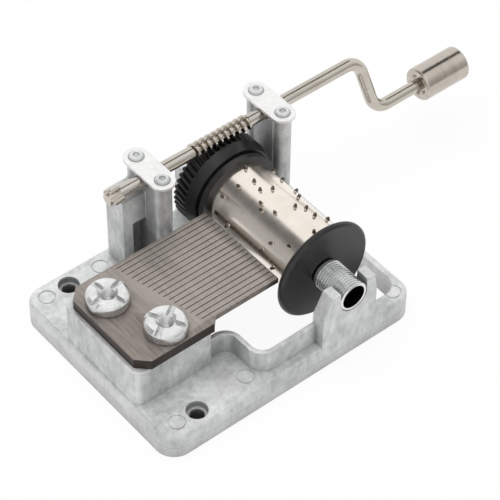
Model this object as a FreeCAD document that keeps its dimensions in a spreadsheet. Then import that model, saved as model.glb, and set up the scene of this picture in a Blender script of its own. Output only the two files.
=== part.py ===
import FreeCAD, Part
import math
import os
import re

import Sketcher

# Hand-cranked cylinder music movement.
# X runs along the crank shaft towards the knob, Y along the cylinder towards its worm wheel, Z is up.
# The origin lies on the bedplate's underside, midway between the two mounting holes.

# Driving sizes in millimetres and degrees: name, value, meaning.
DRIVING = [
    ("plate_length", 50.0, "bedplate along X"),
    ("plate_width", 39.0, "bedplate along Y"),
    ("plate_thickness", 4.6, "bedplate's flat part"),
    ("plate_left", 7.5, "from the mounting holes to the bedplate's left edge"),
    ("plate_corner_radius", 3.5, "bedplate's corners seen from above"),
    ("plate_edge_chamfer", 0.5, "bedplate's upper edge"),
    ("hole_spacing", 33.2, "between the mounting holes"),
    ("hole_core_radius", 1.25, "mounting hole before its thread"),
    ("hole_mouth_radius", 1.8, "relief at a mounting hole's top"),
    ("hole_mouth_depth", 1.2, "depth of that relief"),
    ("ejector_radius", 1.5, "round mark that an ejector leaves on the casting"),
    ("ejector_width", 0.3, "width of that mark's ring"),
    ("ejector_depth", 0.15, "depth of that mark's ring"),
    ("cylinder_axis_x", 28.9, "cylinder axis from the mounting holes"),
    ("cylinder_axis_height", 12.8, "cylinder axis above the underside"),
    ("sleeve_radius", 6.45, "outside of the sleeve"),
    ("sleeve_wall", 0.5, "sheet that the sleeve is made of"),
    ("sleeve_length", 20.1, "sleeve along Y"),
    ("sleeve_front", -11.2, "front end of the sleeve along Y"),
    ("pin_height", 0.6, "pin above the sleeve"),
    ("pin_root_radius", 0.4, "pin at the sleeve"),
    ("pin_tip_radius", 0.22, "pin at its tip"),
    ("pins_per_tooth", 3, "pins in each tooth's track"),
    ("flange_radius", 8.9, "front flange"),
    ("flange_thickness", 1.2, "front flange's rim"),
    ("flange_edge", 0.35, "chamfer round the front flange"),
    ("spigot_length", 3.0, "plastic end inside the sleeve"),
    ("press_gap", 0.02, "room between pieces that are pressed or cemented together"),
    ("journal_radius", 1.6, "plastic journal that turns in a stud"),
    ("journal_length", 4.4, "journal past the front flange"),
    ("rear_journal_length", 3.5, "journal past the worm wheel"),
    ("running_clearance", 0.05, "radial room of a turning fit"),
    ("end_float", 0.3, "room at the end of a turning piece"),
    ("stud_radius", 2.65, "outside of a bearing stud"),
    ("stud_ring_pitch", 0.6, "pitch of the rings turned on a stud"),
    ("stud_ring_depth", 0.18, "depth of those rings"),
    ("stud_chamfer", 0.45, "chamfer at a stud's ends"),
    ("wheel_teeth", 45, "teeth of the worm wheel"),
    ("worm_pitch", 1.15, "axial pitch of the worm's single thread"),
    ("worm_turns", 10, "turns of thread on the worm"),
    ("thread_thickness", 0.5, "worm thread at its pitch radius, along the axis"),
    ("thread_height", 0.26, "worm thread above its pitch radius"),
    ("thread_depth", 0.32, "worm thread below its pitch radius"),
    ("thread_sink", 0.1, "root of the thread's section inside the worm's core"),
    ("pressure_angle", 20.0, "flank of thread and tooth"),
    ("flank_clearance", 0.07, "room beside each flank of the worm's thread"),
    ("tip_clearance", 0.1, "room between a tip and the root that it faces"),
    ("wheel_back", 1.3, "worm wheel's rear face behind the shaft's axis"),
    ("tooth_face", 2.9, "length of a wheel tooth"),
    ("wheel_band", 1.9, "smooth cone in front of the teeth"),
    ("wheel_band_radius", 7.9, "that cone at its front edge"),
    ("wheel_groove", 0.45, "groove in front of the cone"),
    ("wheel_groove_radius", 7.1, "bottom of that groove"),
    ("wheel_ring_radius", 7.5, "ring that the sleeve's rear end meets"),
    ("wire_radius", 1.1, "crank wire"),
    ("shaft_y", 13.95, "crank shaft along Y"),
    ("shaft_end_x", 6.4, "swaged end of the crank shaft"),
    ("ear_length", 3.0, "swaged ears along the shaft"),
    ("ear_offset", 0.5, "ears from the shaft's end"),
    ("ear_span", 3.4, "ears across the shaft"),
    ("ear_thickness", 0.95, "thickness of an ear"),
    ("crank_corner_x", 58.1, "where the lines of shaft and arm cross"),
    ("crank_throw", 10.2, "handle's axis from the shaft's axis"),
    ("crank_lean", 8.0, "arm's lean from square, outwards"),
    ("crank_turn", 20.0, "arm at rest, from straight down towards the front"),
    ("crank_bend_radius", 2.9, "bends of the wire at its centre line"),
    ("handle_length", 9.6, "from the arm's corner to the knob"),
    ("knob_radius", 3.0, "knob"),
    ("knob_length", 9.4, "knob along X"),
    ("knob_neck", 6.2, "knob's narrow bore from its inner face"),
    ("knob_chamfer", 0.45, "knob's edges"),
    ("knob_bore_radius", 1.9, "knob's wide bore round the upset end"),
    ("knob_mouth_radius", 1.8, "knob's opening at its inner face"),
    ("knob_mouth_depth", 1.7, "depth of that opening"),
    ("collar_radius", 1.5, "swaged collar that keeps the knob from sliding inwards"),
    ("collar_length", 0.8, "that collar along X"),
    ("upset_radius", 1.6, "upset end of the wire inside the knob"),
    ("upset_length", 1.2, "that end along X"),
    ("tower_left_x", 14.8, "left tower along X"),
    ("tower_right_x", 39.2, "right tower along X"),
    ("column_radius", 1.5, "round column of a tower"),
    ("column_offset", 3.36, "column from the shaft's axis"),
    ("web_thickness", 2.4, "wall between a tower's columns"),
    ("strap_thickness", 0.6, "strap"),
    ("strap_radius", 2.15, "strap's round ends and half its width"),
    ("spigot_radius", 0.95, "cast spigot through a strap"),
    ("spigot_clearance", 0.05, "room round a spigot in its strap"),
    ("rivet_radius", 1.35, "staked head on a spigot"),
    ("rivet_height", 0.45, "height of that head"),
    ("post_left_x", 9.1, "left face of the post beside the left tower"),
    ("post_thickness", 2.0, "post along X"),
    ("post_front", 13.6, "front face of the post along Y"),
    ("post_depth", 4.6, "post along Y"),
    ("post_height", 19.6, "top of the post"),
    ("recess_depth", 1.8, "recess between post and tower"),
    ("recess_height", 13.8, "top of that recess"),
    ("pedestal_left", 6.9, "from the mounting holes to the pedestal's left face"),
    ("pedestal_right", 7.5, "from the mounting holes to the pedestal's right face"),
    ("pedestal_front", -10.8, "pedestal's front face along Y"),
    ("pedestal_back", 8.3, "pedestal's rear face along Y"),
    ("pedestal_height", 12.2, "comb's seat above the underside"),
    ("pedestal_edge", 1.6, "rounding of the pedestal's corners"),
    ("window_right", 41.1, "right edge of the window under the cylinder"),
    ("window_front", -16.8, "front edge of the window"),
    ("window_back", 7.6, "rear edge of the window"),
    ("window_step_x", 12.35, "left edge of the window's front part"),
    ("window_step_y", -8.95, "front edge of the window's left part"),
    ("window_radius", 2.5, "window's plain corners"),
    ("well_width", 13.0, "room in the bedplate under the worm wheel"),
    ("well_gap", 0.5, "room behind the worm wheel"),
    ("rib_thickness", 0.9, "S-shaped rib"),
    ("rib_height", 9.0, "top of the rib"),
    ("rib_radius", 2.6, "centre line of each bend of the rib"),
    ("bracket_left", 6.1, "front bracket, left of the cylinder's axis"),
    ("bracket_right", 4.9, "front bracket, right of the cylinder's axis"),
    ("bracket_thickness", 2.6, "bearing bracket along Y"),
    ("bracket_shoulder", 11.4, "where the bracket's sides begin to slope"),
    ("bracket_lug", 4.3, "half width across the lugs beside the stud"),
    ("bracket_lug_height", 15.2, "top of those lugs"),
    ("rear_bracket_half", 5.0, "half width of the rear bracket"),
    ("comb_left", 6.2, "from the mounting holes to the comb's left edge"),
    ("comb_thickness", 1.95, "comb's base"),
    ("comb_front", -11.05, "comb's front edge along Y"),
    ("comb_corner", 2.0, "comb's clipped corners"),
    ("tooth_count", 18, "teeth of the comb"),
    ("tooth_pitch", 1.03, "between teeth"),
    ("tooth_slot", 0.28, "slot between teeth"),
    ("tooth_first", -9.95, "front edge of the first tooth along Y"),
    ("tooth_relief", 0.9, "teeth thinned from below"),
    ("tooth_gap", 0.33, "between tooth tips and the circle of the pins"),
    ("slot_root_front", 6.9, "end of the frontmost slot along X"),
    ("slot_root_back", 3.0, "end of the rearmost slot along X"),
    ("weight_count", 8, "teeth that carry a lead weight"),
    ("weight_length", 5.0, "longest weight along its tooth"),
    ("weight_length_step", 0.4, "difference to the next weight"),
    ("weight_height", 1.9, "tallest weight"),
    ("weight_height_step", 0.13, "difference to the next weight"),
    ("weight_inset", 0.9, "weights from the tooth tips"),
    ("weight_taper", 0.12, "each side of a weight, narrowing downwards"),
    ("screw_head_radius", 3.5, "comb screw's head"),
    ("screw_head_height", 2.2, "height of that head"),
    ("screw_head_edge", 0.6, "chamfer round that head"),
    ("screw_shank_radius", 1.95, "comb screw's shank"),
    ("screw_length", 8.4, "shank under the head"),
    ("screw_tip", 0.5, "chamfer at the shank's tip"),
    ("screw_hole_clearance", 0.15, "room round the shank in the comb"),
    ("screw_seat_clearance", 0.05, "room round the shank in the pedestal"),
    ("screw_slot_width", 1.0, "cross slots in the head"),
    ("screw_slot_depth", 0.6, "depth of those slots"),
    ("screw_recess_radius", 1.7, "driver recess at its mouth"),
    ("screw_recess_depth", 1.5, "driver recess"),
    ("screw_front_x", 1.45, "front comb screw"),
    ("screw_front_y", -7.3, "front comb screw"),
    ("screw_front_turn", 29.0, "front screw's cross"),
    ("screw_rear_x", -2.1, "rear comb screw"),
    ("screw_rear_y", 2.75, "rear comb screw"),
    ("screw_rear_turn", 12.0, "rear screw's cross"),
    ("cut_margin", 1.0, "how far a cutting shape passes beyond what it cuts"),
]

# Sizes that follow from the driving ones.
DERIVED = [
    ("plate_front", "-plate_width / 2"),
    ("plate_rear", "plate_width / 2"),
    ("plate_right", "plate_length - plate_left"),
    ("wheel_pitch_radius", "wheel_teeth * worm_pitch / (2 * pi)"),
    ("worm_core_radius", "wire_radius - thread_depth"),
    ("worm_tip_radius", "wire_radius + thread_height"),
    ("axis_distance", "wheel_pitch_radius + wire_radius"),
    ("wheel_tip_radius", "axis_distance - worm_core_radius - tip_clearance"),
    ("wheel_root_radius", "axis_distance - worm_tip_radius - tip_clearance"),
    ("lead_angle", "atan(worm_pitch / (2 * pi * wire_radius))"),
    ("flank_slope", "tan(pressure_angle)"),
    ("shaft_height", "cylinder_axis_height + axis_distance"),
    ("worm_start_x", "cylinder_axis_x - worm_turns / 2 * worm_pitch"),
    ("worm_length", "worm_turns * worm_pitch"),
    ("sleeve_back", "sleeve_front + sleeve_length"),
    ("flange_front", "sleeve_front - flange_thickness"),
    ("wheel_rear", "shaft_y + wheel_back"),
    ("tooth_front", "wheel_rear - tooth_face"),
    ("band_front", "tooth_front - wheel_band"),
    ("groove_front", "band_front - wheel_groove"),
    ("stud_bore_radius", "journal_radius + running_clearance"),
    ("spigot_outer_radius", "sleeve_radius - sleeve_wall - press_gap"),
    ("strap_seat", "shaft_height + wire_radius + running_clearance"),
    ("strap_top", "strap_seat + strap_thickness"),
    ("comb_seat", "pedestal_height"),
    ("comb_top", "pedestal_height + comb_thickness"),
    ("tooth_bottom", "pedestal_height + tooth_relief"),
    ("tooth_width", "tooth_pitch - tooth_slot"),
    ("tooth_field", "tooth_count * tooth_pitch - tooth_slot"),
    ("tooth_tip_x", "cylinder_axis_x - sleeve_radius - pin_height - tooth_gap"),
    ("comb_back", "tooth_first + tooth_field"),
    ("slot_step", "(slot_root_back - slot_root_front) / (tooth_count - 2)"),
    ("crank_bend", "90 - crank_lean"),
    ("crank_trim", "crank_bend_radius * tan(crank_bend / 2)"),
    ("arm_length", "crank_throw / cos(crank_lean)"),
    ("handle_x", "crank_corner_x + crank_throw * tan(crank_lean)"),
    ("knob_x", "handle_x + handle_length"),
    ("upset_x", "knob_x + knob_neck + end_float"),
    ("collar_x", "knob_x + knob_mouth_depth - end_float - collar_length"),
    ("rib_inner", "rib_radius - rib_thickness / 2"),
    ("rib_outer", "rib_radius + rib_thickness / 2"),
]

X_AXIS = FreeCAD.Vector(1, 0, 0)
Y_AXIS = FreeCAD.Vector(0, 1, 0)
Z_AXIS = FreeCAD.Vector(0, 0, 1)
QUARTER_TURN = 90
FULL_TURN = 360
TRACK_TURN = 77
PIN_JITTER = 29
PIN_JITTER_SPAN = 53
EDGE_TOLERANCE = 0.01
RING_SHARE = 0.25
# Ejector marks on the plate: X from the mounting holes, Y as a share of the distance to the hole row.
EJECTOR_PLACES = [(-4.3, 1.0), (6.3, 1.0), (-3.9, -1.0), (10.0, -0.97), (39.6, -1.03)]

doc = FreeCAD.newDocument("music_movement")
dims = doc.addObject("Spreadsheet::Sheet", "dims")


def fill_sheet():
    """Write the driving sizes as numbers and the derived ones as formulas, each under its own name."""
    row = 0
    for name, value, meaning in DRIVING:
        row += 1
        dims.set(f"A{row}", meaning)
        dims.set(f"B{row}", str(value))
        dims.setAlias(f"B{row}", name)
    for name, formula in DERIVED:
        row += 1
        dims.set(f"A{row}", name.replace("_", " "))
        dims.set(f"B{row}", "=" + formula)
        dims.setAlias(f"B{row}", name)
    doc.recompute()


NAMES = {entry[0] for entry in DRIVING} | {entry[0] for entry in DERIVED}


def size(name):
    """A size of the sheet as a plain number."""
    return float(getattr(dims, name))


def in_sheet(formula):
    """The formula with each size addressed in the sheet."""
    def address(word):
        return "dims." + word[0] if word[0] in NAMES else word[0]
    return re.sub(r"[a-z][a-z_]*[a-z]", address, formula)


def bind(item, prop, formula):
    item.setExpression(prop, in_sheet(formula))


def place(item, x="0", y="0", z="0", axis=None, angle=None):
    """Tie an object's place, and its turn about one axis, to the sheet."""
    if axis is not None:
        item.Placement = FreeCAD.Placement(FreeCAD.Vector(), FreeCAD.Rotation(axis, 1))
        bind(item, "Placement.Rotation.Angle", str(angle))
    bind(item, "Placement.Base.x", x)
    bind(item, "Placement.Base.y", y)
    bind(item, "Placement.Base.z", z)
    return item


def pose(item, base, turns):
    """Tie an object's place and a chain of turns about the main axes to the sheet."""
    axes = {"x": "vector(1; 0; 0)", "y": "vector(0; 1; 0)", "z": "vector(0; 0; 1)"}
    chain = " * ".join(f"rotation({axes[axis]}; {angle})" for axis, angle in turns)
    bind(item, "Placement", f"placement(vector({'; '.join(base)}); {chain})")
    return item


def box(name, low, high):
    """Box between two corners, each a triple of formulas."""
    item = doc.addObject("Part::Box", name)
    for prop, start, end in zip(("Length", "Width", "Height"), low, high):
        bind(item, prop, f"({end}) - ({start})")
    return place(item, *low)


def cylinder(name, radius, length, start, axis=None, angle=QUARTER_TURN):
    """Cylinder along Z from its start, or turned about an axis."""
    item = doc.addObject("Part::Cylinder", name)
    bind(item, "Radius", radius)
    bind(item, "Height", length)
    return place(item, *start, axis, angle)


def cone(name, low_radius, high_radius, length, start):
    """Upright cone."""
    item = doc.addObject("Part::Cone", name)
    bind(item, "Radius1", low_radius)
    bind(item, "Radius2", high_radius)
    bind(item, "Height", length)
    return place(item, *start)


def fused(name, pieces):
    item = doc.addObject("Part::MultiFuse", name)
    item.Shapes = pieces
    item.Refine = True
    return item


def cut(name, base, tool):
    item = doc.addObject("Part::Cut", name)
    item.Base = base
    item.Tool = tool
    item.Refine = True
    return item


def new_body(name):
    return doc.addObject("PartDesign::Body", name)


def origin_item(body, role):
    return next(item for item in body.Origin.OriginFeatures if item.Role == role)


def new_sketch(body, name, plane, lift="0"):
    """Empty sketch on one of the body's own planes, lifted along the plane's normal."""
    sketch = body.newObject("Sketcher::SketchObject", name)
    sketch.AttachmentSupport = [(origin_item(body, plane), "")]
    sketch.MapMode = "FlatFace"
    bind(sketch, "AttachmentOffset.Base.z", lift)
    return sketch


def draw_outline(sketch, corners):
    """Closed outline of straight lines whose corners are tied to the sheet."""
    first = sketch.GeometryCount
    count = len(corners)
    ring = []
    for index in range(count):
        angle = 2 * math.pi * index / count
        ring.append(FreeCAD.Vector(math.cos(angle), math.sin(angle), 0) * count)
    for index in range(count):
        sketch.addGeometry(Part.LineSegment(ring[index], ring[(index + 1) % count]), False)
    for index in range(count):
        following = first + (index + 1) % count
        sketch.addConstraint(Sketcher.Constraint("Coincident", first + index, 2, following, 1))
    for index, corner in enumerate(corners):
        for kind, start, formula in zip(("DistanceX", "DistanceY"), ring[index], corner):
            rule = sketch.addConstraint(Sketcher.Constraint(kind, -1, 1, first + index, 1, start))
            sketch.setExpression(f"Constraints[{rule}]", in_sheet(formula))


def outline(body, name, plane, corners, lift="0"):
    sketch = new_sketch(body, name, plane, lift)
    draw_outline(sketch, corners)
    return sketch


def pad(body, sketch, length):
    """Raise a sketch along its plane's normal."""
    feature = body.newObject("PartDesign::Pad", sketch.Name + "_pad")
    feature.Profile = sketch
    bind(feature, "Length", length)
    doc.recompute()
    return feature


def pocket(body, sketch, length, reverse):
    """Sink a sketch into the body and make sure that it took material away."""
    before = body.Shape.Volume
    feature = body.newObject("PartDesign::Pocket", sketch.Name + "_pocket")
    feature.Profile = sketch
    feature.Reversed = reverse
    bind(feature, "Length", length)
    doc.recompute()
    if body.Shape.Volume >= before:
        raise RuntimeError(feature.Name + " cuts nothing")
    return feature


def revolved(body, sketch, axis):
    feature = body.newObject("PartDesign::Revolution", sketch.Name + "_turned")
    feature.Profile = sketch
    feature.ReferenceAxis = (sketch, [axis])
    feature.Angle = FULL_TURN
    doc.recompute()
    return feature


def upright_edges(feature, x, y):
    """Names of the edges along Z that pass through a place, given as two formulas' values."""
    found = []
    for index, edge in enumerate(feature.Shape.Edges, start=1):
        ends = [vertex.Point for vertex in edge.Vertexes]
        near = [abs(p.x - x) < EDGE_TOLERANCE and abs(p.y - y) < EDGE_TOLERANCE for p in ends]
        if len(ends) == 2 and all(near):
            found.append(f"Edge{index}")
    return found


def rounded(body, feature, corners, radius):
    """Round the upright edges at the given corners."""
    names = [name for x, y in corners for name in upright_edges(feature, x, y)]
    rounding = body.newObject("PartDesign::Fillet", feature.Name + "_rounded_" + radius)
    rounding.Base = (feature, names)
    bind(rounding, "Radius", radius)
    doc.recompute()
    return rounding


def plate():
    """Flat bedplate with round corners and a bevelled upper edge."""
    body = new_body("plate")
    low = ("-plate_left", "plate_front")
    high = ("plate_right", "plate_rear")
    corners = [low, (high[0], low[1]), high, (low[0], high[1])]
    block = pad(body, outline(body, "plate_outline", "XY_Plane", corners), "plate_thickness")
    sides = (-size("plate_left"), size("plate_right"))
    ends = (size("plate_front"), size("plate_rear"))
    block = rounded(body, block, [(x, y) for x in sides for y in ends], "plate_corner_radius")
    top = [f"Edge{index}" for index, edge in enumerate(block.Shape.Edges, start=1)
           if all(abs(vertex.Z - size("plate_thickness")) < EDGE_TOLERANCE for vertex in edge.Vertexes)]
    bevel = body.newObject("PartDesign::Chamfer", "plate_bevel")
    bevel.Base = (block, top)
    bind(bevel, "Size", "plate_edge_chamfer")
    doc.recompute()
    return body


def pedestal():
    """Block that the comb is screwed to."""
    body = new_body("pedestal")
    corners = [("-pedestal_left", "pedestal_front"), ("pedestal_right", "pedestal_front"),
               ("pedestal_right", "pedestal_back"), ("-pedestal_left", "pedestal_back")]
    block = pad(body, outline(body, "pedestal_outline", "XY_Plane", corners), "pedestal_height")
    left = -size("pedestal_left")
    rounded(body, block, [(left, size("pedestal_front")), (left, size("pedestal_back"))], "pedestal_edge")
    return body


def window():
    """Opening through the plate, with the room for the worm wheel at its rear."""
    body = new_body("window")
    well_left = "cylinder_axis_x - well_width / 2"
    well_right = "cylinder_axis_x + well_width / 2"
    corners = [("pedestal_right", "window_back"), ("pedestal_right", "window_step_y"),
               ("window_step_x", "window_step_y"), ("window_step_x", "window_front"),
               ("window_right", "window_front"), ("window_right", "window_back"),
               (well_right, "window_back"), (well_right, "wheel_rear + well_gap"),
               (well_left, "wheel_rear + well_gap"), (well_left, "window_back")]
    sketch = outline(body, "window_outline", "XY_Plane", corners, "-cut_margin")
    prism = pad(body, sketch, "rib_height + 2 * cut_margin")
    step_x = size("window_step_x")
    front = size("window_front")
    right = size("window_right")
    prism = rounded(body, prism, [(step_x, size("window_step_y"))], "rib_outer")
    prism = rounded(body, prism, [(step_x, front)], "rib_inner")
    rounded(body, prism, [(right, front), (right, size("window_back"))], "window_radius")
    return body


def rib_block():
    """Outer limit of the rib, from which the window is then cut."""
    body = new_body("rib_block")
    left = "pedestal_right - cut_margin"
    right = "cylinder_axis_x - bracket_left + cut_margin"
    back = "window_step_y - rib_thickness"
    step = "window_step_x - rib_thickness"
    front = "window_front - rib_thickness"
    corners = [(left, "window_step_y"), (left, back), (step, back), (step, front), (right, front),
               (right, "window_step_y")]
    block = pad(body, outline(body, "rib_outline", "XY_Plane", corners), "rib_height")
    step_x = size("window_step_x") - size("rib_thickness")
    block = rounded(body, block, [(step_x, size("window_step_y") - size("rib_thickness"))], "rib_inner")
    rounded(body, block, [(step_x, size("window_front") - size("rib_thickness"))], "rib_outer")
    return body


def tower(side):
    """Two columns, the wall between them and the spigots that are staked over the strap."""
    x = f"tower_{side}_x"
    front = "shaft_y - column_offset"
    back = "shaft_y + column_offset"
    pieces = [box(f"{side}_web", (f"{x} - web_thickness / 2", front, "0"),
                  (f"{x} + web_thickness / 2", back, "strap_seat"))]
    for end, y in (("front", front), ("back", back)):
        pieces.append(cylinder(f"{side}_{end}_column", "column_radius", "strap_seat", (x, y, "0")))
        pieces.append(cylinder(f"{side}_{end}_spigot", "spigot_radius", "strap_top", (x, y, "0")))
        pieces.append(cone(f"{side}_{end}_head", "rivet_radius", "spigot_radius", "rivet_height",
                           (x, y, "strap_top")))
    return pieces


def post():
    """Post beside the left tower, joined to it above and behind a recess."""
    back = "post_front + post_depth"
    right = "post_left_x + post_thickness"
    upright = box("post_upright", ("post_left_x", "post_front", "0"), (right, back, "post_height"))
    end = ("tower_left_x", back, "post_height")
    rear = box("post_rear", (right, "post_front + recess_depth", "0"), end)
    bridge = box("post_bridge", (right, "post_front", "recess_height"), end)
    return [upright, rear, bridge]


def front_bracket():
    """Upright plate with two lugs between which the front stud lies."""
    body = new_body("front_bracket")
    left = "cylinder_axis_x - bracket_left"
    right = "cylinder_axis_x + bracket_right"
    left_lug = "cylinder_axis_x - bracket_lug"
    right_lug = "cylinder_axis_x + bracket_lug"
    corners = [(left, "0"), (right, "0"), (right, "bracket_shoulder"), (right_lug, "bracket_lug_height"),
               (left_lug, "bracket_lug_height"), (left, "bracket_shoulder")]
    sketch = outline(body, "front_bracket_outline", "XZ_Plane", corners,
                     "-plate_front - bracket_thickness")
    pad(body, sketch, "bracket_thickness")
    return body


def rear_bracket():
    """Upright block behind the worm wheel that holds the rear stud."""
    front = "plate_rear - bracket_thickness"
    low = ("cylinder_axis_x - rear_bracket_half", front, "0")
    high = ("cylinder_axis_x + rear_bracket_half", "plate_rear", "bracket_lug_height")
    return box("rear_bracket", low, high)


def bearing_cuts():
    """Round seats for the studs, open at the top, and for the shaft in both towers."""
    front = "plate_front - cut_margin"
    whole = "plate_width + 2 * cut_margin"
    seat = "stud_radius + press_gap"
    along_y = ("cylinder_axis_x", "plate_rear + cut_margin", "cylinder_axis_height")
    round_seat = cylinder("stud_seat", seat, whole, along_y, X_AXIS)
    # Both brackets lie clear of every other cast wall, so one slot along the whole axis serves them both.
    low = (f"cylinder_axis_x - {seat}", front, "cylinder_axis_height")
    high = (f"cylinder_axis_x + {seat}", f"{front} + {whole}", "bracket_lug_height + cut_margin")
    slot = box("stud_slot", low, high)
    shaft = "wire_radius + running_clearance"
    start = "tower_left_x - column_radius - cut_margin"
    run = "tower_right_x - tower_left_x + 2 * (column_radius + cut_margin)"
    shaft_seat = cylinder("shaft_seat", shaft, run, (start, "shaft_y", "shaft_height"), Y_AXIS)
    shaft_slot = box("shaft_slot", (start, f"shaft_y - {shaft}", "shaft_height"),
                     (f"{start} + {run}", f"shaft_y + {shaft}", "strap_seat + cut_margin"))
    return [round_seat, slot, shaft_seat, shaft_slot]


def plate_cuts():
    """Mounting holes with their relief, ejector marks and the comb screws' holes."""
    cuts = []
    for end, sign in (("front", "-"), ("rear", "")):
        y = f"{sign}hole_spacing / 2"
        cuts.append(cylinder(f"hole_{end}", "hole_core_radius", "plate_thickness + 2 * cut_margin",
                             ("0", y, "-cut_margin")))
        cuts.append(cylinder(f"hole_{end}_mouth", "hole_mouth_radius", "hole_mouth_depth + cut_margin",
                             ("0", y, "plate_thickness - hole_mouth_depth")))
        depth = "screw_length - comb_thickness + cut_margin"
        cuts.append(cylinder(f"screw_{end}_hole", "screw_shank_radius + screw_seat_clearance",
                             f"{depth} + cut_margin",
                             (f"screw_{end}_x", f"screw_{end}_y", f"comb_seat - ({depth})")))
    for index, (x, share) in enumerate(EJECTOR_PLACES):
        start = (str(x), f"{share} * hole_spacing / 2", "plate_thickness - ejector_depth")
        disc = cylinder(f"ejector_disc_{index}", "ejector_radius", "ejector_depth + cut_margin", start)
        core = cylinder(f"ejector_core_{index}", "ejector_radius - ejector_width",
                        "ejector_depth + cut_margin", start)
        cuts.append(cut(f"ejector_ring_{index}", disc, core))
    return cuts


def bedplate():
    """The whole casting."""
    opening = window()
    rib = cut("rib", rib_block(), opening)
    pierced = cut("pierced_plate", plate(), opening)
    walls = [pierced, rib, pedestal(), front_bracket(), rear_bracket()]
    walls += tower("left") + tower("right") + post()
    raw = fused("raw_casting", walls)
    return cut("bedplate", raw, fused("casting_cuts", bearing_cuts() + plate_cuts()))


def strap(side):
    """Flat strap with round ends and two holes for the spigots."""
    name = f"shaft_strap_{side}"
    x = f"tower_{side}_x"
    ends = [f"shaft_y {sign} column_offset" for sign in "-+"]
    low = (f"{x} - strap_radius", ends[0], "strap_seat")
    high = (f"{x} + strap_radius", ends[1], "strap_top")
    pieces = [box(name + "_bar", low, high)]
    holes = []
    for index, y in enumerate(ends):
        start = (x, y, "strap_seat")
        pieces.append(cylinder(f"{name}_end_{index}", "strap_radius", "strap_thickness", start))
        holes.append(cylinder(f"{name}_hole_{index}", "spigot_radius + spigot_clearance",
                              "strap_thickness + 2 * cut_margin", (x, y, "strap_seat - cut_margin")))
    return cut(name, fused(name + "_blank", pieces), fused(name + "_holes", holes))


def turned_on_y(name, corners):
    """Piece turned about the cylinder's axis: corners give places along Y and radii."""
    body = new_body(name)
    revolved(body, outline(body, name + "_profile", "YZ_Plane", corners), "H_Axis")
    place(body, "cylinder_axis_x", "0", "cylinder_axis_height")
    return body


def cylinder_sleeve():
    """Thin sleeve with a few raised pins in the track of each tooth."""
    inner = "sleeve_radius - sleeve_wall"
    outer = "sleeve_radius"
    pieces = [turned_on_y("sleeve_tube", [("sleeve_front", inner), ("sleeve_back", inner),
                                          ("sleeve_back", outer), ("sleeve_front", outer)])]
    per_tooth = int(size("pins_per_tooth"))
    for tooth in range(int(size("tooth_count"))):
        for pin in range(per_tooth):
            spread = PIN_JITTER * tooth * pin % PIN_JITTER_SPAN
            angle = TRACK_TURN * tooth + FULL_TURN * pin / per_tooth + spread
            item = doc.addObject("Part::Cone", f"pin_{tooth}_{pin}")
            bind(item, "Radius1", "pin_root_radius")
            bind(item, "Radius2", "pin_tip_radius")
            bind(item, "Height", "pin_height + sleeve_wall / 2")
            reach = "(sleeve_radius - sleeve_wall / 2)"
            place(item, f"cylinder_axis_x + {reach} * sin({angle})",
                  f"tooth_first + tooth_width / 2 + {tooth} * tooth_pitch",
                  f"cylinder_axis_height + {reach} * cos({angle})", Y_AXIS, angle)
            pieces.append(item)
    return fused("cylinder_sleeve", pieces)


def front_flange():
    """Plastic disc with a spigot in the sleeve and a journal in the front stud."""
    rim = "flange_radius - flange_edge"
    return turned_on_y("front_flange", [
        ("flange_front - journal_length", "0"), ("sleeve_front + spigot_length", "0"),
        ("sleeve_front + spigot_length", "spigot_outer_radius"), ("sleeve_front", "spigot_outer_radius"),
        ("sleeve_front", rim), ("sleeve_front - flange_edge", "flange_radius"),
        ("flange_front + flange_edge", "flange_radius"), ("flange_front", rim),
        ("flange_front", "journal_radius"), ("flange_front - journal_length", "journal_radius")])


def worm_wheel():
    """Plastic wheel with slanted tooth gaps at its rear, a smooth cone, a groove and a ring."""
    name = "worm_wheel"
    body = new_body(name)
    profile = [
        ("sleeve_back - spigot_length", "0"), ("wheel_rear + rear_journal_length", "0"),
        ("wheel_rear + rear_journal_length", "journal_radius"), ("wheel_rear", "journal_radius"),
        ("wheel_rear", "wheel_tip_radius"), ("tooth_front", "wheel_tip_radius"),
        ("band_front", "wheel_band_radius"), ("band_front", "wheel_groove_radius"),
        ("groove_front", "wheel_groove_radius"), ("groove_front", "wheel_ring_radius"),
        ("sleeve_back", "wheel_ring_radius"), ("sleeve_back", "spigot_outer_radius"),
        ("sleeve_back - spigot_length", "spigot_outer_radius")]
    revolved(body, outline(body, "wheel_profile", "YZ_Plane", profile), "H_Axis")
    half = "(thread_thickness / 2 + flank_clearance"
    low = f"{half} - (wheel_pitch_radius - wheel_root_radius) * flank_slope)"
    high = f"{half} + (wheel_tip_radius + cut_margin - wheel_pitch_radius) * flank_slope)"
    gap = outline(body, "tooth_gap", "XZ_Plane", [
        (f"-{low}", "wheel_root_radius"), (low, "wheel_root_radius"),
        (high, "wheel_tip_radius + cut_margin"), (f"-{high}", "wheel_tip_radius + cut_margin")], "-shaft_y")
    # The gap's outline stands at the shaft's axis, square to the thread, and is sunk both ways along it.
    gap.AttachmentOffset = FreeCAD.Placement(FreeCAD.Vector(), FreeCAD.Rotation(Y_AXIS, 1))
    bind(gap, "AttachmentOffset.Rotation.Angle", "-lead_angle")
    bind(gap, "AttachmentOffset.Base.z", "-shaft_y")
    first = pocket(body, gap, "wheel_back + cut_margin", False)
    first.SideType = "Two sides"
    bind(first, "Length2", "tooth_face - wheel_back")
    doc.recompute()
    pattern = body.newObject("PartDesign::PolarPattern", "tooth_gaps")
    pattern.Originals = [first]
    pattern.Axis = (origin_item(body, "Y_Axis"), [""])
    pattern.Angle = FULL_TURN
    bind(pattern, "Occurrences", "wheel_teeth")
    body.Tip = pattern
    doc.recompute()
    place(body, "cylinder_axis_x", "0", "cylinder_axis_height")
    return body


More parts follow.
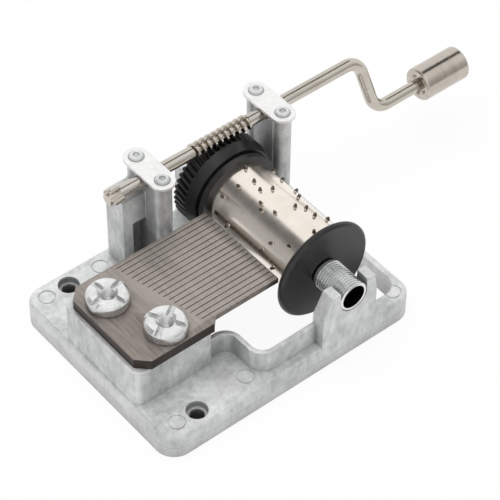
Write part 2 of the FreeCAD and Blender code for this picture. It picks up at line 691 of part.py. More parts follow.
def bearing_stud(end, start, finish, length):
    """Hollow stud between two places along Y, with as many turned rings as its length has room for."""
    room = (length - 2 * size("stud_chamfer")) / size("stud_ring_pitch")
    low = "(stud_radius - stud_ring_depth)"
    corners = [(start, "stud_bore_radius"), (start, "stud_radius - stud_chamfer"),
               (f"{start} + stud_chamfer", "stud_radius")]
    for ring in range(1, math.floor(room - RING_SHARE) + 1):
        middle = f"{start} + stud_chamfer + {ring} * stud_ring_pitch"
        corners += [(f"{middle} - stud_ring_pitch * {RING_SHARE}", "stud_radius"), (middle, low),
                    (f"{middle} + stud_ring_pitch * {RING_SHARE}", "stud_radius")]
    corners += [(f"{finish} - stud_chamfer", "stud_radius"), (finish, "stud_radius - stud_chamfer"),
                (finish, "stud_bore_radius")]
    return turned_on_y(f"bearing_stud_{end}", corners)


def comb():
    """Steel comb: clipped base, thinned teeth and two screw holes."""
    body = new_body("comb_blank")
    step = "slot_root_front + comb_corner / 2"
    inset = "-comb_left + comb_corner"
    corners = [("-comb_left", "comb_front + comb_corner"), (inset, "comb_front"), (step, "comb_front"),
               (f"{step} + tooth_first - comb_front", "tooth_first"), ("tooth_tip_x", "tooth_first"),
               ("tooth_tip_x", "comb_back"), (inset, "comb_back"), ("-comb_left", "comb_back - comb_corner")]
    pad(body, outline(body, "comb_outline", "XY_Plane", corners, "comb_seat"), "comb_thickness")
    past_tips = "tooth_tip_x + cut_margin"
    past_front = "tooth_first - cut_margin"
    past_back = "comb_back + cut_margin"
    relief = [("slot_root_front", past_front), (past_tips, past_front), (past_tips, past_back),
              ("slot_root_back", past_back)]
    pocket(body, outline(body, "comb_relief", "XY_Plane", relief, "comb_seat"), "tooth_relief", True)
    slots = new_sketch(body, "comb_slots", "XY_Plane", "comb_top")
    for index in range(int(size("tooth_count")) - 1):
        start = f"slot_root_front + {index} * slot_step"
        front = f"tooth_first + {index + 1} * tooth_pitch - tooth_slot"
        back = f"{front} + tooth_slot"
        draw_outline(slots, [(start, front), (past_tips, front), (past_tips, back), (start, back)])
    pocket(body, slots, "comb_thickness + cut_margin", False)
    holes = []
    for end in ("front", "rear"):
        holes.append(cylinder(f"comb_hole_{end}", "screw_shank_radius + screw_hole_clearance",
                              "comb_thickness + 2 * cut_margin",
                              (f"screw_{end}_x", f"screw_{end}_y", "comb_seat - cut_margin")))
    return cut("comb", body, fused("comb_holes", holes))


def comb_screw(end):
    """Cheese-head screw with a cross of slots and a driver recess."""
    name = f"comb_screw_{end}"
    body = new_body(name + "_blank")
    head_top = "comb_top + screw_head_height"
    tip = "comb_top - screw_length"
    profile = [("0", tip), ("screw_shank_radius - screw_tip", tip),
               ("screw_shank_radius", f"{tip} + screw_tip"), ("screw_shank_radius", "comb_top"),
               ("screw_head_radius", "comb_top"), ("screw_head_radius", f"{head_top} - screw_head_edge"),
               ("screw_head_radius - screw_head_edge", head_top), ("0", head_top)]
    revolved(body, outline(body, name + "_profile", "XZ_Plane", profile), "V_Axis")
    reach = "screw_head_radius + cut_margin"
    half = "screw_slot_width / 2"
    low = f"{head_top} - screw_slot_depth"
    high = f"{head_top} + cut_margin"
    cross = [box(name + "_slot_a", (f"-({reach})", f"-{half}", low), (reach, half, high)),
             box(name + "_slot_b", (f"-{half}", f"-({reach})", low), (half, reach, high)),
             cone(name + "_recess", "screw_slot_width / 2", "screw_recess_radius", "screw_recess_depth",
                  ("0", "0", f"{head_top} - screw_recess_depth"))]
    item = cut(name, body, fused(name + "_cross", cross))
    return place(item, f"screw_{end}_x", f"screw_{end}_y", "0", Z_AXIS, f"screw_{end}_turn")


def tuning_weight(index):
    """Lead slug soldered under a bass tooth, counted from the rearmost."""
    item = doc.addObject("Part::Wedge", f"tuning_weight_{index + 1}")
    length = f"(weight_length - {index} * weight_length_step)"
    height = f"(weight_height - {index} * weight_height_step)"
    bind(item, "Xmin", "0")
    bind(item, "Xmax", length)
    bind(item, "Ymin", f"-{height}")
    bind(item, "Ymax", "0")
    bind(item, "Zmin", "weight_taper")
    bind(item, "Zmax", "tooth_width - weight_taper")
    bind(item, "X2min", "0")
    bind(item, "X2max", length)
    bind(item, "Z2min", "0")
    bind(item, "Z2max", "tooth_width")
    y = f"comb_back - {index} * tooth_pitch"
    return place(item, f"tooth_tip_x - weight_inset - {length}", y, "tooth_bottom", X_AXIS, QUARTER_TURN)


def worm():
    """Core and thread of the worm, along Z from the middle of the thread's first turn."""
    core = cylinder("worm_core", "worm_core_radius", "worm_length + worm_pitch",
                    ("0", "0", "worm_start_x - worm_pitch / 2"))
    helix = doc.addObject("Part::Helix", "thread_line")
    bind(helix, "Pitch", "worm_pitch")
    bind(helix, "Height", "worm_length")
    bind(helix, "Radius", "wire_radius")
    sunk = "(worm_core_radius - thread_sink)"
    low = f"(thread_thickness / 2 + (wire_radius - {sunk}) * flank_slope)"
    high = "(thread_thickness / 2 - thread_height * flank_slope)"
    section = doc.addObject("Sketcher::SketchObject", "thread_section")
    section.Placement = FreeCAD.Placement(FreeCAD.Vector(), FreeCAD.Rotation(X_AXIS, QUARTER_TURN))
    draw_outline(section, [(sunk, f"-{low}"), ("worm_tip_radius", f"-{high}"), ("worm_tip_radius", high),
                           (sunk, low)])
    thread = doc.addObject("Part::Sweep", "worm_thread")
    doc.recompute()
    thread.Sections = [section]
    thread.Spine = (helix, [f"Edge{index + 1}" for index in range(len(helix.Shape.Edges))])
    thread.Solid = True
    thread.Frenet = True
    place(thread, "0", "0", "worm_start_x")
    return [core, thread]


def wire_piece(name, radius, length, x="0", z="0", lean="0"):
    """Straight round piece of the crank, leaning from the shaft's axis towards the handle."""
    item = doc.addObject("Part::Cylinder", name)
    bind(item, "Radius", radius)
    bind(item, "Height", length)
    return pose(item, (x, "0", z), [("y", lean)])


def wire_bend(name, x, z, start):
    """Bend of the wire about a centre, from its start angle, in the plane of arm and handle."""
    item = doc.addObject("Part::Torus", name)
    bind(item, "Radius1", "crank_bend_radius")
    bind(item, "Radius2", "wire_radius")
    bind(item, "Angle3", "crank_bend")
    return pose(item, (x, "0", z), [("x", "90"), ("z", start)])


def swaged_ears():
    """Flattened cross near the shaft's free end."""
    low = "shaft_end_x + ear_offset"
    reach = "ear_span / 2"
    half = "ear_thickness / 2"
    high = f"{low} + ear_length"
    return [box("ears_upright", (f"-{reach}", f"-{half}", low), (reach, half, high)),
            box("ears_level", (f"-{half}", f"-{reach}", low), (half, reach, high))]


def crank_shaft():
    """The bent wire, modelled with its shaft along Z and then laid along X."""
    worm_end = "worm_start_x + worm_length + worm_pitch / 2"
    plain_left = wire_piece("wire_left", "wire_radius", "worm_start_x - worm_pitch / 2 - shaft_end_x",
                            z="shaft_end_x")
    plain_right = wire_piece("wire_right", "wire_radius", f"crank_corner_x - crank_trim - ({worm_end})",
                             z=worm_end)
    arm_start = "crank_trim * cos(crank_lean)"
    arm_rise = "crank_corner_x + crank_trim * sin(crank_lean)"
    handle_start = "handle_x + crank_trim"
    arm = fused("crank_arm", [
        wire_bend("first_bend", "crank_bend_radius", "crank_corner_x - crank_trim", "90 + crank_lean"),
        wire_piece("arm_wire", "wire_radius", "arm_length - 2 * crank_trim", arm_start, arm_rise,
                   "90 - crank_lean"),
        wire_bend("second_bend", "crank_throw - crank_bend_radius", handle_start, "crank_lean - 90"),
        wire_piece("handle_wire", "wire_radius", f"upset_x - ({handle_start})", "crank_throw", handle_start),
        wire_piece("handle_collar", "collar_radius", "collar_length", "crank_throw", "collar_x"),
        wire_piece("handle_upset", "upset_radius", "upset_length", "crank_throw", "upset_x")])
    pose(arm, ("0", "0", "0"), [("z", "-crank_turn")])
    whole = fused("crank_shaft", [plain_left, plain_right, arm] + worm() + swaged_ears())
    return pose(whole, ("0", "shaft_y", "shaft_height"), [("y", "90")])


def crank_knob():
    """Turned knob with a bore for the wire, opened out at both ends."""
    body = new_body("crank_knob")
    outer = "knob_x + knob_length"
    neck = "wire_radius + running_clearance"
    profile = [("knob_x", "knob_mouth_radius"), ("knob_x", "knob_radius - knob_chamfer"),
               ("knob_x + knob_chamfer", "knob_radius"), (f"{outer} - knob_chamfer", "knob_radius"),
               (outer, "knob_radius - knob_chamfer"), (outer, "knob_bore_radius"),
               ("knob_x + knob_neck", "knob_bore_radius"), ("knob_x + knob_neck", neck),
               ("knob_x + knob_mouth_depth", neck), ("knob_x + knob_mouth_depth", "knob_mouth_radius")]
    revolved(body, outline(body, "knob_profile", "XZ_Plane", profile), "H_Axis")
    return place(body, "0", "shaft_y - crank_throw * sin(crank_turn)",
                 "shaft_height - crank_throw * cos(crank_turn)")


def check(item):
    """Stop when a piece is missing, broken or in several lumps."""
    shape = item.Shape
    if shape.isNull() or not shape.isValid() or len(shape.Solids) != 1:
        raise RuntimeError(item.Label + " is not one valid solid")


def main():
    fill_sheet()
    pieces = [bedplate(), strap("left"), strap("right"), crank_shaft(), crank_knob(), comb(),
              comb_screw("front"), comb_screw("rear"), cylinder_sleeve(), front_flange(), worm_wheel(),
              bearing_stud("front", "plate_front", "flange_front - end_float",
                           size("flange_front") - size("end_float") - size("plate_front")),
              bearing_stud("rear", "wheel_rear + end_float", "plate_rear",
                           size("plate_rear") - size("wheel_rear") - size("end_float"))]
    pieces += [tuning_weight(index) for index in range(int(size("weight_count")))]
    doc.recompute()
    broken = [item.Label for item in doc.Objects if {"Invalid", "Error"} & set(item.State)]
    if broken:
        raise RuntimeError("not rebuilt: " + ", ".join(broken))
    os.makedirs("parts", exist_ok=True)
    for item in pieces:
        item.Label = item.Name
        check(item)
        item.Shape.exportStep(f"parts/{item.Label}.step")
        print(item.Label, round(item.Shape.Volume, 2), item.Shape.BoundBox)


main()
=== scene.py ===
"""Studio picture of a small hand-cranked cylinder music movement.

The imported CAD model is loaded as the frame. Each sub-assembly is a class that reworks and
dresses its own pieces, and the studio class holds the floor, the light and the camera.
Lengths are in metres, and a name that ends in _mm holds millimetres.
"""

import logging
import math
from collections.abc import Callable, Iterator
from contextlib import contextmanager
from dataclasses import dataclass
from enum import Enum

import bpy
from mathutils import Matrix, Vector

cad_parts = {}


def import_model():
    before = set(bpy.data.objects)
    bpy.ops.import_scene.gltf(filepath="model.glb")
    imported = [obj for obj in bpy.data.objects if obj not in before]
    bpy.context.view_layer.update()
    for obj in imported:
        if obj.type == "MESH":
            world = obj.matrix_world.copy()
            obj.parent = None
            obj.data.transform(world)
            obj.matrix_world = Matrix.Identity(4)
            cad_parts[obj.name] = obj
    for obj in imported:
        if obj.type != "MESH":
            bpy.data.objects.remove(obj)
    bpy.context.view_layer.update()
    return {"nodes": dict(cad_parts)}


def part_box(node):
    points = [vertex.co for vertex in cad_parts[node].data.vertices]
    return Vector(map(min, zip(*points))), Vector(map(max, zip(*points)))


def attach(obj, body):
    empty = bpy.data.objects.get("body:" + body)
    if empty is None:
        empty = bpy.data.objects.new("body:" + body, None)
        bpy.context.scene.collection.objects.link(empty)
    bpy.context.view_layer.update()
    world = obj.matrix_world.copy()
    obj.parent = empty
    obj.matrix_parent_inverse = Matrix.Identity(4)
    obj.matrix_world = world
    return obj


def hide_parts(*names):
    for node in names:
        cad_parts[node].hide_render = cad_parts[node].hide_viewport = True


LOG = logging.getLogger("movement")
MM = 0.001

Colour = tuple[float, float, float]
Place = tuple[float, float, float]
Span = tuple[float, float]
Sizes = tuple[float, ...]
Profile = tuple[Span, ...]
Thing = bpy.types.Object
Socket = bpy.types.NodeSocket
PartTest = Callable[[bpy.types.bpy_struct], bool]
EdgeTest = Callable[[Vector, Vector], bool]

BLACK: Colour = (0.0, 0.0, 0.0)
WHITE: Colour = (1.0, 1.0, 1.0)
WHOLE: Span = (0.0, 1.0)
CYLINDER_AXIS_MM: Span = (28.9, 12.8)  # along X and Z


class Body(Enum):
    """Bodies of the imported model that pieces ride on."""

    FRAME = "frame"
    CYLINDER = "cylinder"
    CRANK = "crank"
    KNOB = "knob"


class Tone(Enum):
    """How two colours are laid over each other."""

    OVER = "MIX"
    DARKER = "MULTIPLY"


class Axis(Enum):
    """Axes, each with its number and the turn of a flat ring that stands across it."""

    X = (0, (0.0, math.pi / 2.0, 0.0))
    Y = (1, (math.pi / 2.0, 0.0, 0.0))
    Z = (2, (0.0, 0.0, 0.0))

    def __init__(self, number: int, tilt: Place) -> None:
        """Give the two values their names."""
        self.number = number
        self.tilt = tilt


class Measure(Enum):
    """What a band of painted shade is placed by."""

    HEIGHT = "height"
    RADIUS = "distance from the cylinder's axis"


class Part(Enum):
    """Parts of a mesh that are picked, each with its select mode and its list."""

    POINTS = ("VERT", "vertices")
    EDGES = ("EDGE", "edges")
    FACES = ("FACE", "polygons")


class Nodes:
    """A node tree whose nodes are added and joined by short calls."""

    def __init__(self, tree: bpy.types.NodeTree) -> None:
        """Take over a tree."""
        self.tree = tree

    def feed(self, socket: Socket, value: object) -> None:
        """Join a socket to an output, or set it to a number, vector or colour.

        Args:
            socket: input that is fed
            value: what it is fed with
        """
        if isinstance(value, bpy.types.NodeSocket):
            self.tree.links.new(value, socket)
        elif socket.type == "RGBA":
            socket.default_value = (*value, 1.0)
        else:
            socket.default_value = value

    def out(self, kind: str, output: str | int, inputs: dict[str | int, object] | None = None,
            **settings: object) -> Socket:
        """Add a node, feed it and give one of its outputs.

        Args:
            kind: type of the node
            output: name or number of the output
            inputs: what its inputs are fed with, by name or number
            settings: attributes that are set on it

        Returns:
            The output.
        """
        node = self.tree.nodes.new(kind)
        for key, value in settings.items():
            setattr(node, key, value)
        for key, value in (inputs or {}).items():
            self.feed(node.inputs[key], value)
        return node.outputs[output]

    def maths(self, operation: str, first: object, second: object = 0.0) -> Socket:
        """Join two numbers by an operation, or change one by it."""
        return self.out("ShaderNodeMath", 0, {0: first, 1: second}, operation=operation)

    def seen(self, share: float) -> Socket:
        """Give a number that is a share on rays that show the surface, else 0.

        Args:
            share: number on camera, mirror and see-through rays

        Returns:
            Number output.
        """
        path = self.tree.nodes.new("ShaderNodeLightPath").outputs
        total = path["Is Camera Ray"]
        for name in ("Is Glossy Ray", "Is Transmission Ray"):
            total = self.maths("MAXIMUM", total, path[name])
        return self.maths("MULTIPLY", total, share)


class NodeBoard(Nodes):
    """Shader nodes of one material."""

    EDGE_SPAN: Span = (0.52, 0.62)  # pointiness where wear starts and where it is full
    HOLLOW_SPAN: Span = (0.25, 0.80)  # openness where the painted shade is full and where it ends
    HOLLOW_SAMPLES = 8

    def __init__(self, name: str) -> None:
        """Start a material with a plain shader.

        Args:
            name: name of the material
        """
        self.material = bpy.data.materials.new(name)
        self.material.use_nodes = True
        super().__init__(self.material.node_tree)
        self.shader = self.tree.nodes["Principled BSDF"]

    def finish(self, name: str, value: object) -> None:
        """Feed one input of the shader by its name."""
        self.feed(self.shader.inputs[name], value)

    def place_mm(self, stretch: Place = (1.0, 1.0, 1.0)) -> Socket:
        """Give the place on the object in millimetres, stretched along X, Y and Z."""
        place = {"Vector": self.out("ShaderNodeTexCoord", "Object")}
        return self.out("ShaderNodeMapping", 0, place | {"Scale": [s / MM for s in stretch]})

    def along(self, axis: Axis) -> Socket:
        """Give the place along one axis in millimetres."""
        return self.out("ShaderNodeSeparateXYZ", axis.number, {0: self.place_mm()})

    def away_mm(self, axis: Axis, place_mm: float) -> Socket:
        """Give the distance from a place along one axis, in millimetres."""
        return self.maths("ABSOLUTE", self.maths("SUBTRACT", self.along(axis), place_mm))

    def measured(self, measure: Measure) -> Socket:
        """Give what a band is placed by, in millimetres.

        Args:
            measure: height or distance from the cylinder's axis

        Returns:
            Number output.
        """
        if measure is Measure.HEIGHT:
            return self.along(Axis.Z)
        squares = [self.maths("POWER", self.maths("SUBTRACT", self.along(axis), middle), 2.0)
                   for axis, middle in zip((Axis.X, Axis.Z), CYLINDER_AXIS_MM)]
        return self.maths("SQRT", self.maths("ADD", *squares))

    def noise(self, place: Socket, scale: float, detail: float = 3.0,
              roughness: float = 0.55) -> Socket:
        """Lay a cloudy pattern from 0 to 1, with its octaves and the finer ones' share."""
        return self.out("ShaderNodeTexNoise", "Fac", {
            "Vector": place, "Scale": scale, "Detail": detail, "Roughness": roughness})

    def ramp(self, number: Socket, stops: tuple[tuple[float, Colour], ...]) -> Socket:
        """Turn a number into a colour.

        Args:
            number: output from 0 to 1
            stops: places from 0 to 1 with their colours, lowest first

        Returns:
            Colour output.
        """
        node = self.tree.nodes.new("ShaderNodeValToRGB")
        marks = node.color_ramp.elements
        while len(marks) < len(stops):
            marks.new(0.5)
        for mark, (place, colour) in zip(marks, stops):
            mark.position = place
            mark.color = (*colour, 1.0)
        self.feed(node.inputs["Fac"], number)
        return node.outputs["Color"]

    def lay(self, share: object, below: object, above: object, tone: Tone = Tone.OVER) -> Socket:
        """Lay a share of one colour over another, through the Mix node's colour sockets."""
        return self.out("ShaderNodeMix", 2, {0: share, 6: below, 7: above},
                        data_type="RGBA", blend_type=tone.value)

    def spread(self, number: Socket, span: Span, onto: Span) -> Socket:
        """Carry a number from one span onto another, held at its ends."""
        ends = dict(zip(("From Min", "From Max", "To Min", "To Max"), (*span, *onto)))
        return self.out("ShaderNodeMapRange", "Result", {"Value": number} | ends, clamp=True)

    def bump(self, height: Socket, depth_mm: float, strength: float) -> Socket:
        """Raise and sink the surface's shading by a share of a depth."""
        return self.out("ShaderNodeBump", "Normal", {
            "Strength": strength, "Distance": depth_mm * MM, "Height": height})

    def edges(self, share: float) -> Socket:
        """Give a number that rises on outer edges to a share, for wear."""
        pointed = self.out("ShaderNodeNewGeometry", "Pointiness")
        return self.spread(pointed, self.EDGE_SPAN, (0.0, share))

    def hollows(self, reach_mm: float, share: float) -> Socket:
        """Give a number that rises to a share in hollows no wider than a reach, for painted
        shade.
        """
        openness = self.out("ShaderNodeAmbientOcclusion", "AO", {"Distance": reach_mm * MM},
                            samples=self.HOLLOW_SAMPLES)
        return self.spread(openness, self.HOLLOW_SPAN, (share, 0.0))


@dataclass(frozen=True)
class Finish:
    """A surface whose colour, shine and relief vary from place to place."""

    GRAIN_NOISE = (1.0, 5.0, 0.6)  # scale, octaves and share of the finer octaves
    COLOUR_SPAN = (0.34, 0.66)  # pattern at the darkest and the lightest colour
    SHINE_SPAN = (0.3, 0.7)  # pattern at the lowest and the highest roughness
    RELIEF_SHARE = 0.6  # share of the fine relief that shows

    name: str
    slot: str  # material slot of the record
    dark: Colour
    light: Colour
    metallic: float
    shine: Span  # lowest and highest roughness
    grain: Place = (1.5, 1.5, 1.5)  # how closely the fine pattern repeats, per millimetre
    cloud: float = 0.25  # how closely the coarse pattern repeats, per millimetre
    grain_share: float = 0.5  # share of the fine pattern in the colour
    relief_mm: float = 0.01
    wear: float = 0.35  # how far the edges go towards the worn colour
    worn: Colour = (0.9, 0.9, 0.9)
    hollow_shade: float = 0.5  # painted shade: how far narrow hollows go towards the shade's colour
    hollow_shade_mm: float = 0.8  # painted shade: how wide a hollow gets it
    # colour of the painted shade in hollows
    hollow_shade_colour: Colour = (0.10, 0.10, 0.10)

    def material(self) -> bpy.types.Material:
        """Give the material, made the first time it is asked for."""
        return bpy.data.materials.get(self.name) or self.made()

    def made(self) -> bpy.types.Material:
        """Build the shader.

        Returns:
            The material.
        """
        board = NodeBoard(self.name)
        grain = board.noise(board.place_mm(self.grain), *self.GRAIN_NOISE)
        cloud = board.noise(board.place_mm(), self.cloud)
        fine = board.maths("MULTIPLY", grain, self.grain_share)
        coarse = board.maths("MULTIPLY", cloud, 1.0 - self.grain_share)
        pattern = board.maths("ADD", fine, coarse)
        colour = board.ramp(pattern, tuple(zip(self.COLOUR_SPAN, (self.dark, self.light))))
        colour = board.lay(board.edges(self.wear), colour, self.worn)
        colour = self.marked(board, colour)
        # Painted shade: narrow hollows are darkened, found by ambient occlusion.
        colour = board.lay(self.painted_hollow_shade(board), colour, self.hollow_shade_colour)
        board.finish("Base Color", colour)
        board.finish("Metallic", self.metallic)
        board.finish("Roughness", board.spread(pattern, self.SHINE_SPAN, self.shine))
        board.finish("Normal", board.bump(grain, self.relief_mm, self.RELIEF_SHARE))
        return board.material

    def marked(self, board: NodeBoard, colour: Socket) -> Socket:
        """Add marks of this finish alone; plain finishes have none."""
        return colour

    def painted_hollow_shade(self, board: NodeBoard) -> Socket:
        """Give the share of painted shade in hollows from place to place."""
        return board.hollows(self.hollow_shade_mm, self.hollow_shade)


@dataclass(frozen=True)
class CastFinish(Finish):
    """Die-cast zinc with flow marks, dark pores, a parting line and painted shade round the
    staked heads.

    A span says where a mark starts and ends, and a share how strong it is.
    """

    flow: Place = (0.12, 0.3, 0.2)  # how closely flow marks repeat, per millimetre
    flow_noise: Sizes = (1.0, 4.0, 0.65)  # scale, octaves and share of the finer octaves
    flow_span: Span = (0.5, 0.75)
    flow_share: float = 0.25
    pore_noise: Sizes = (2.6, 2.0, 0.4)
    pore_span: Span = (0.68, 0.76)
    pore_share: float = 0.35
    pore: Colour = (0.30, 0.30, 0.30)
    seam_mm: float = 2.1  # height of the parting line
    seam_span_mm: Span = (0.05, 0.16)
    seam_share: float = 0.30
    head_span_mm: Span = (23.70, 23.80)  # heights between which the heads start
    head_shade_span_mm: Span = (23.95, 24.24)  # heights between which the painted shade on the heads goes from dark to plain
    # painted shade on the staked heads: its strength and its colour
    head_shade_share: float = 0.60
    head_shade_colour: Colour = (0.12, 0.12, 0.12)
    less_shade_mm: float = 4.5  # height near which the painted shade in hollows is kept low
    less_shade_span_mm: Span = (0.15, 0.40)
    less_shade_share: float = 0.2

    def marked(self, board: NodeBoard, colour: Socket) -> Socket:
        """Add flow marks, pores, the parting line and the painted shade on the heads.

        Args:
            board: nodes of the material
            colour: colour so far

        Returns:
            Colour with the marks.
        """
        flow = board.noise(board.place_mm(self.flow), *self.flow_noise)
        flow = board.spread(flow, self.flow_span, (0.0, self.flow_share))
        pores = board.noise(board.place_mm(), *self.pore_noise)
        pores = board.spread(pores, self.pore_span, (0.0, self.pore_share))
        seam = board.away_mm(Axis.Z, self.seam_mm)
        seam = board.spread(seam, self.seam_span_mm, (self.seam_share, 0.0))
        height = board.along(Axis.Z)
        # Painted shade: the staked heads are darkest at their foot and fade towards their dished
        # top.
        head_shade_by_height = board.spread(height, self.head_shade_span_mm, (self.head_shade_share, 0.0))
        heads = board.maths("MULTIPLY", head_shade_by_height, board.spread(height, self.head_span_mm, WHOLE))
        colour = board.lay(flow, colour, self.dark)
        for share, shade in ((pores, self.pore), (seam, self.dark), (heads, self.head_shade_colour)):
            colour = board.lay(share, colour, shade, Tone.DARKER)
        return colour

    def painted_hollow_shade(self, board: NodeBoard) -> Socket:
        """Give the share of painted shade in hollows, kept low near one height.

        Args:
            board: nodes of the material

        Returns:
            Number output.
        """
        # Painted shade in hollows, cut to a fifth near that height.
        away = board.away_mm(Axis.Z, self.less_shade_mm)
        kept = board.spread(away, self.less_shade_span_mm, (self.less_shade_share, 1.0))
        return board.maths("MULTIPLY", board.hollows(self.hollow_shade_mm, self.hollow_shade), kept)


@dataclass(frozen=True)
class ShadeBandFinish(Finish):
    """Metal with one band of painted shade, such as the shade in a recess, a bore or on pins."""

    measure: Measure = Measure.HEIGHT
    shade_band_mm: Span = WHOLE  # where the band of painted shade changes
    shares: Span = (1.0, 0.0)  # how strong it is at these two places
    # colour of the painted shade
    band: Colour = BLACK
    tone: Tone = Tone.DARKER

    def marked(self, board: NodeBoard, colour: Socket) -> Socket:
        """Lay the band of painted shade."""
        share = board.spread(board.measured(self.measure), self.shade_band_mm, self.shares)
        return board.lay(share, colour, self.band, self.tone)


@dataclass(frozen=True)
class GroundFinish(Finish):
    """Burnished steel ground across its length, with painted shade at the teeth's tips and cut
    sides darkened by oxide and painted shade.
    """

    tip_shade_mm: Span = (19.6, 20.6)  # where along X the painted shade at the tips starts and where it is darkest
    tip_shade_share: float = 0.45
    # colour of the painted shade at the tips
    end: Colour = (0.22, 0.20, 0.19)
    steep_span: Span = (0.05, 0.45)  # upward lean of a side and of a level face, for the oxide and painted shade on the sides
    side_shade_share: float = 0.97
    # colour of the cut sides: dark oxide with painted shade
    side: Colour = (0.11, 0.085, 0.075)
    middle_mm: float = -1.37  # where the middle lies along Y
    rim_mm: Span = (8.7, 8.8)  # distances from the middle between which the sides start
    back_mm: Span = (-4.1, -3.9)  # places along X between which the cut back ends

    def marked(self, board: NodeBoard, colour: Socket) -> Socket:
        """Paint shade at the tips, and darken the cut sides with oxide and painted shade.

        Args:
            board: nodes of the material
            colour: colour so far

        Returns:
            Colour with the painted shade at the tips and the dark sides.
        """
        # Painted shade at the teeth's tips, next to the cylinder.
        share = board.spread(board.along(Axis.X), self.tip_shade_mm, (0.0, self.tip_shade_share))
        colour = board.lay(share, colour, self.end, Tone.DARKER)
        # Oxide and painted shade: steep faces on the outer sides are darkened.
        facing = board.out("ShaderNodeNewGeometry", "True Normal")
        upward = board.out("ShaderNodeSeparateXYZ", Axis.Z.number, {0: facing})
        steep = board.spread(upward, self.steep_span, (self.side_shade_share, 0.0))
        across = board.spread(board.away_mm(Axis.Y, self.middle_mm), self.rim_mm, WHOLE)
        behind = board.spread(board.along(Axis.X), self.back_mm, (1.0, 0.0))
        side = board.maths("MULTIPLY", steep, board.maths("MAXIMUM", across, behind))
        return board.lay(side, colour, self.side, Tone.DARKER)


# Each finish below sets how strongly and how far its hollows are darkened as painted shade.
CAST_ZINC = CastFinish(
    "cast zinc", "cast_zinc", (0.45, 0.46, 0.46), (0.84, 0.85, 0.85), 0.42, (0.34, 0.52),
    grain=(1.1, 1.1, 0.6), cloud=0.20, relief_mm=0.02, wear=0.45, hollow_shade=0.66, hollow_shade_mm=6.5)
# Painted shade: the threads of the mounting holes are cast zinc painted nearly black, for the
# shade inside the holes.
SHADED_THREAD_ZINC = CastFinish(
    "thread zinc in painted shade", "cast_zinc", (0.10, 0.10, 0.10), (0.24, 0.24, 0.24), 0.70, (0.34, 0.52),
    grain=(1.1, 1.1, 0.7), relief_mm=0.02, wear=0.1, hollow_shade=0.9, hollow_shade_mm=2.0,
    hollow_shade_colour=(0.03, 0.03, 0.03))
STRAP_STEEL = Finish(
    "strap steel", "strap_steel", (0.78, 0.775, 0.765), (0.92, 0.915, 0.905), 0.50, (0.28, 0.42),
    grain=(1.6, 1.6, 1.6), cloud=0.4, relief_mm=0.004, hollow_shade=0.75)
NICKEL_WIRE = Finish(
    "nickel wire", "nickel_wire", (0.50, 0.455, 0.395), (0.62, 0.575, 0.515), 1.0, (0.16, 0.22),
    grain=(0.10, 1.2, 1.2), cloud=0.2, relief_mm=0.0004, wear=0.15, hollow_shade=0.25,
    hollow_shade_colour=(0.22, 0.19, 0.16))
NICKEL_KNOB = Finish(
    "nickel knob", "nickel_knob", (0.47, 0.425, 0.37), (0.60, 0.55, 0.49), 1.0, (0.16, 0.24),
    grain=(1.2, 0.15, 0.15), cloud=0.2, relief_mm=0.001, wear=0.2, hollow_shade=0.4,
    hollow_shade_colour=(0.20, 0.17, 0.14))
COMB_STEEL = GroundFinish(
    "comb steel", "comb_steel", (0.11, 0.088, 0.076), (0.33, 0.285, 0.257), 0.65, (0.30, 0.48),
    grain=(1.8, 0.16, 1.0), cloud=0.16, grain_share=0.6, relief_mm=0.006, wear=0.45,
    worn=(0.60, 0.55, 0.51), hollow_shade=0.4, hollow_shade_mm=0.5, hollow_shade_colour=(0.06, 0.05, 0.04))
# Painted shade: the screws darken down into the cross recess and down the side of the head.
SCREW_ZINC = ShadeBandFinish(
    "screw zinc", "screw_zinc", (0.70, 0.71, 0.70), (0.90, 0.91, 0.90), 0.85, (0.18, 0.32),
    grain=(0.9, 0.9, 0.9), cloud=0.4, relief_mm=0.002, hollow_shade=0.70, hollow_shade_mm=0.7,
    hollow_shade_colour=(0.05, 0.05, 0.05), shade_band_mm=(15.35, 16.30), shares=(0.40, 0.0), band=(0.25, 0.25, 0.25))
# Painted shade: the pins, beyond 6.5 mm from the axis, are painted dark brown.
SLEEVE_NICKEL = ShadeBandFinish(
    "sleeve nickel", "sleeve_nickel", (0.85, 0.78, 0.695), (0.96, 0.89, 0.81), 1.0, (0.15, 0.24),
    grain=(0.3, 0.9, 0.3), cloud=0.15, relief_mm=0.0008, wear=0.1, hollow_shade=0.4,
    measure=Measure.RADIUS, shade_band_mm=(6.50, 6.62), shares=WHOLE, band=(0.16, 0.13, 0.11),
    tone=Tone.OVER)
BLACK_PLASTIC = Finish(
    "black plastic", "black_plastic", (0.006, 0.006, 0.006), (0.020, 0.019, 0.018), 0.0,
    (0.28, 0.42), grain=(0.9, 0.9, 0.9), cloud=0.3, relief_mm=0.003, wear=0.05,
    worn=(0.16, 0.16, 0.16), hollow_shade_colour=(0.003, 0.003, 0.003))
# Painted shade: the bores and mouths of the studs, within 2.14 mm of the axis, are painted nearly
# black.
STUD_STEEL = ShadeBandFinish(
    "stud steel", "stud_steel", (0.64, 0.65, 0.65), (0.93, 0.94, 0.94), 0.9, (0.20, 0.34),
    grain=(1.6, 0.8, 1.6), cloud=0.4, relief_mm=0.004, hollow_shade=0.35, hollow_shade_colour=(0.12, 0.12, 0.12),
    measure=Measure.RADIUS, shade_band_mm=(2.14, 2.20), band=(0.03, 0.03, 0.03))
LEAD = Finish(
    "lead", "lead", (0.13, 0.13, 0.135), (0.26, 0.26, 0.27), 0.6, (0.5, 0.7),
    grain=(1.6, 1.6, 1.6), cloud=0.5, relief_mm=0.02, wear=0.2)


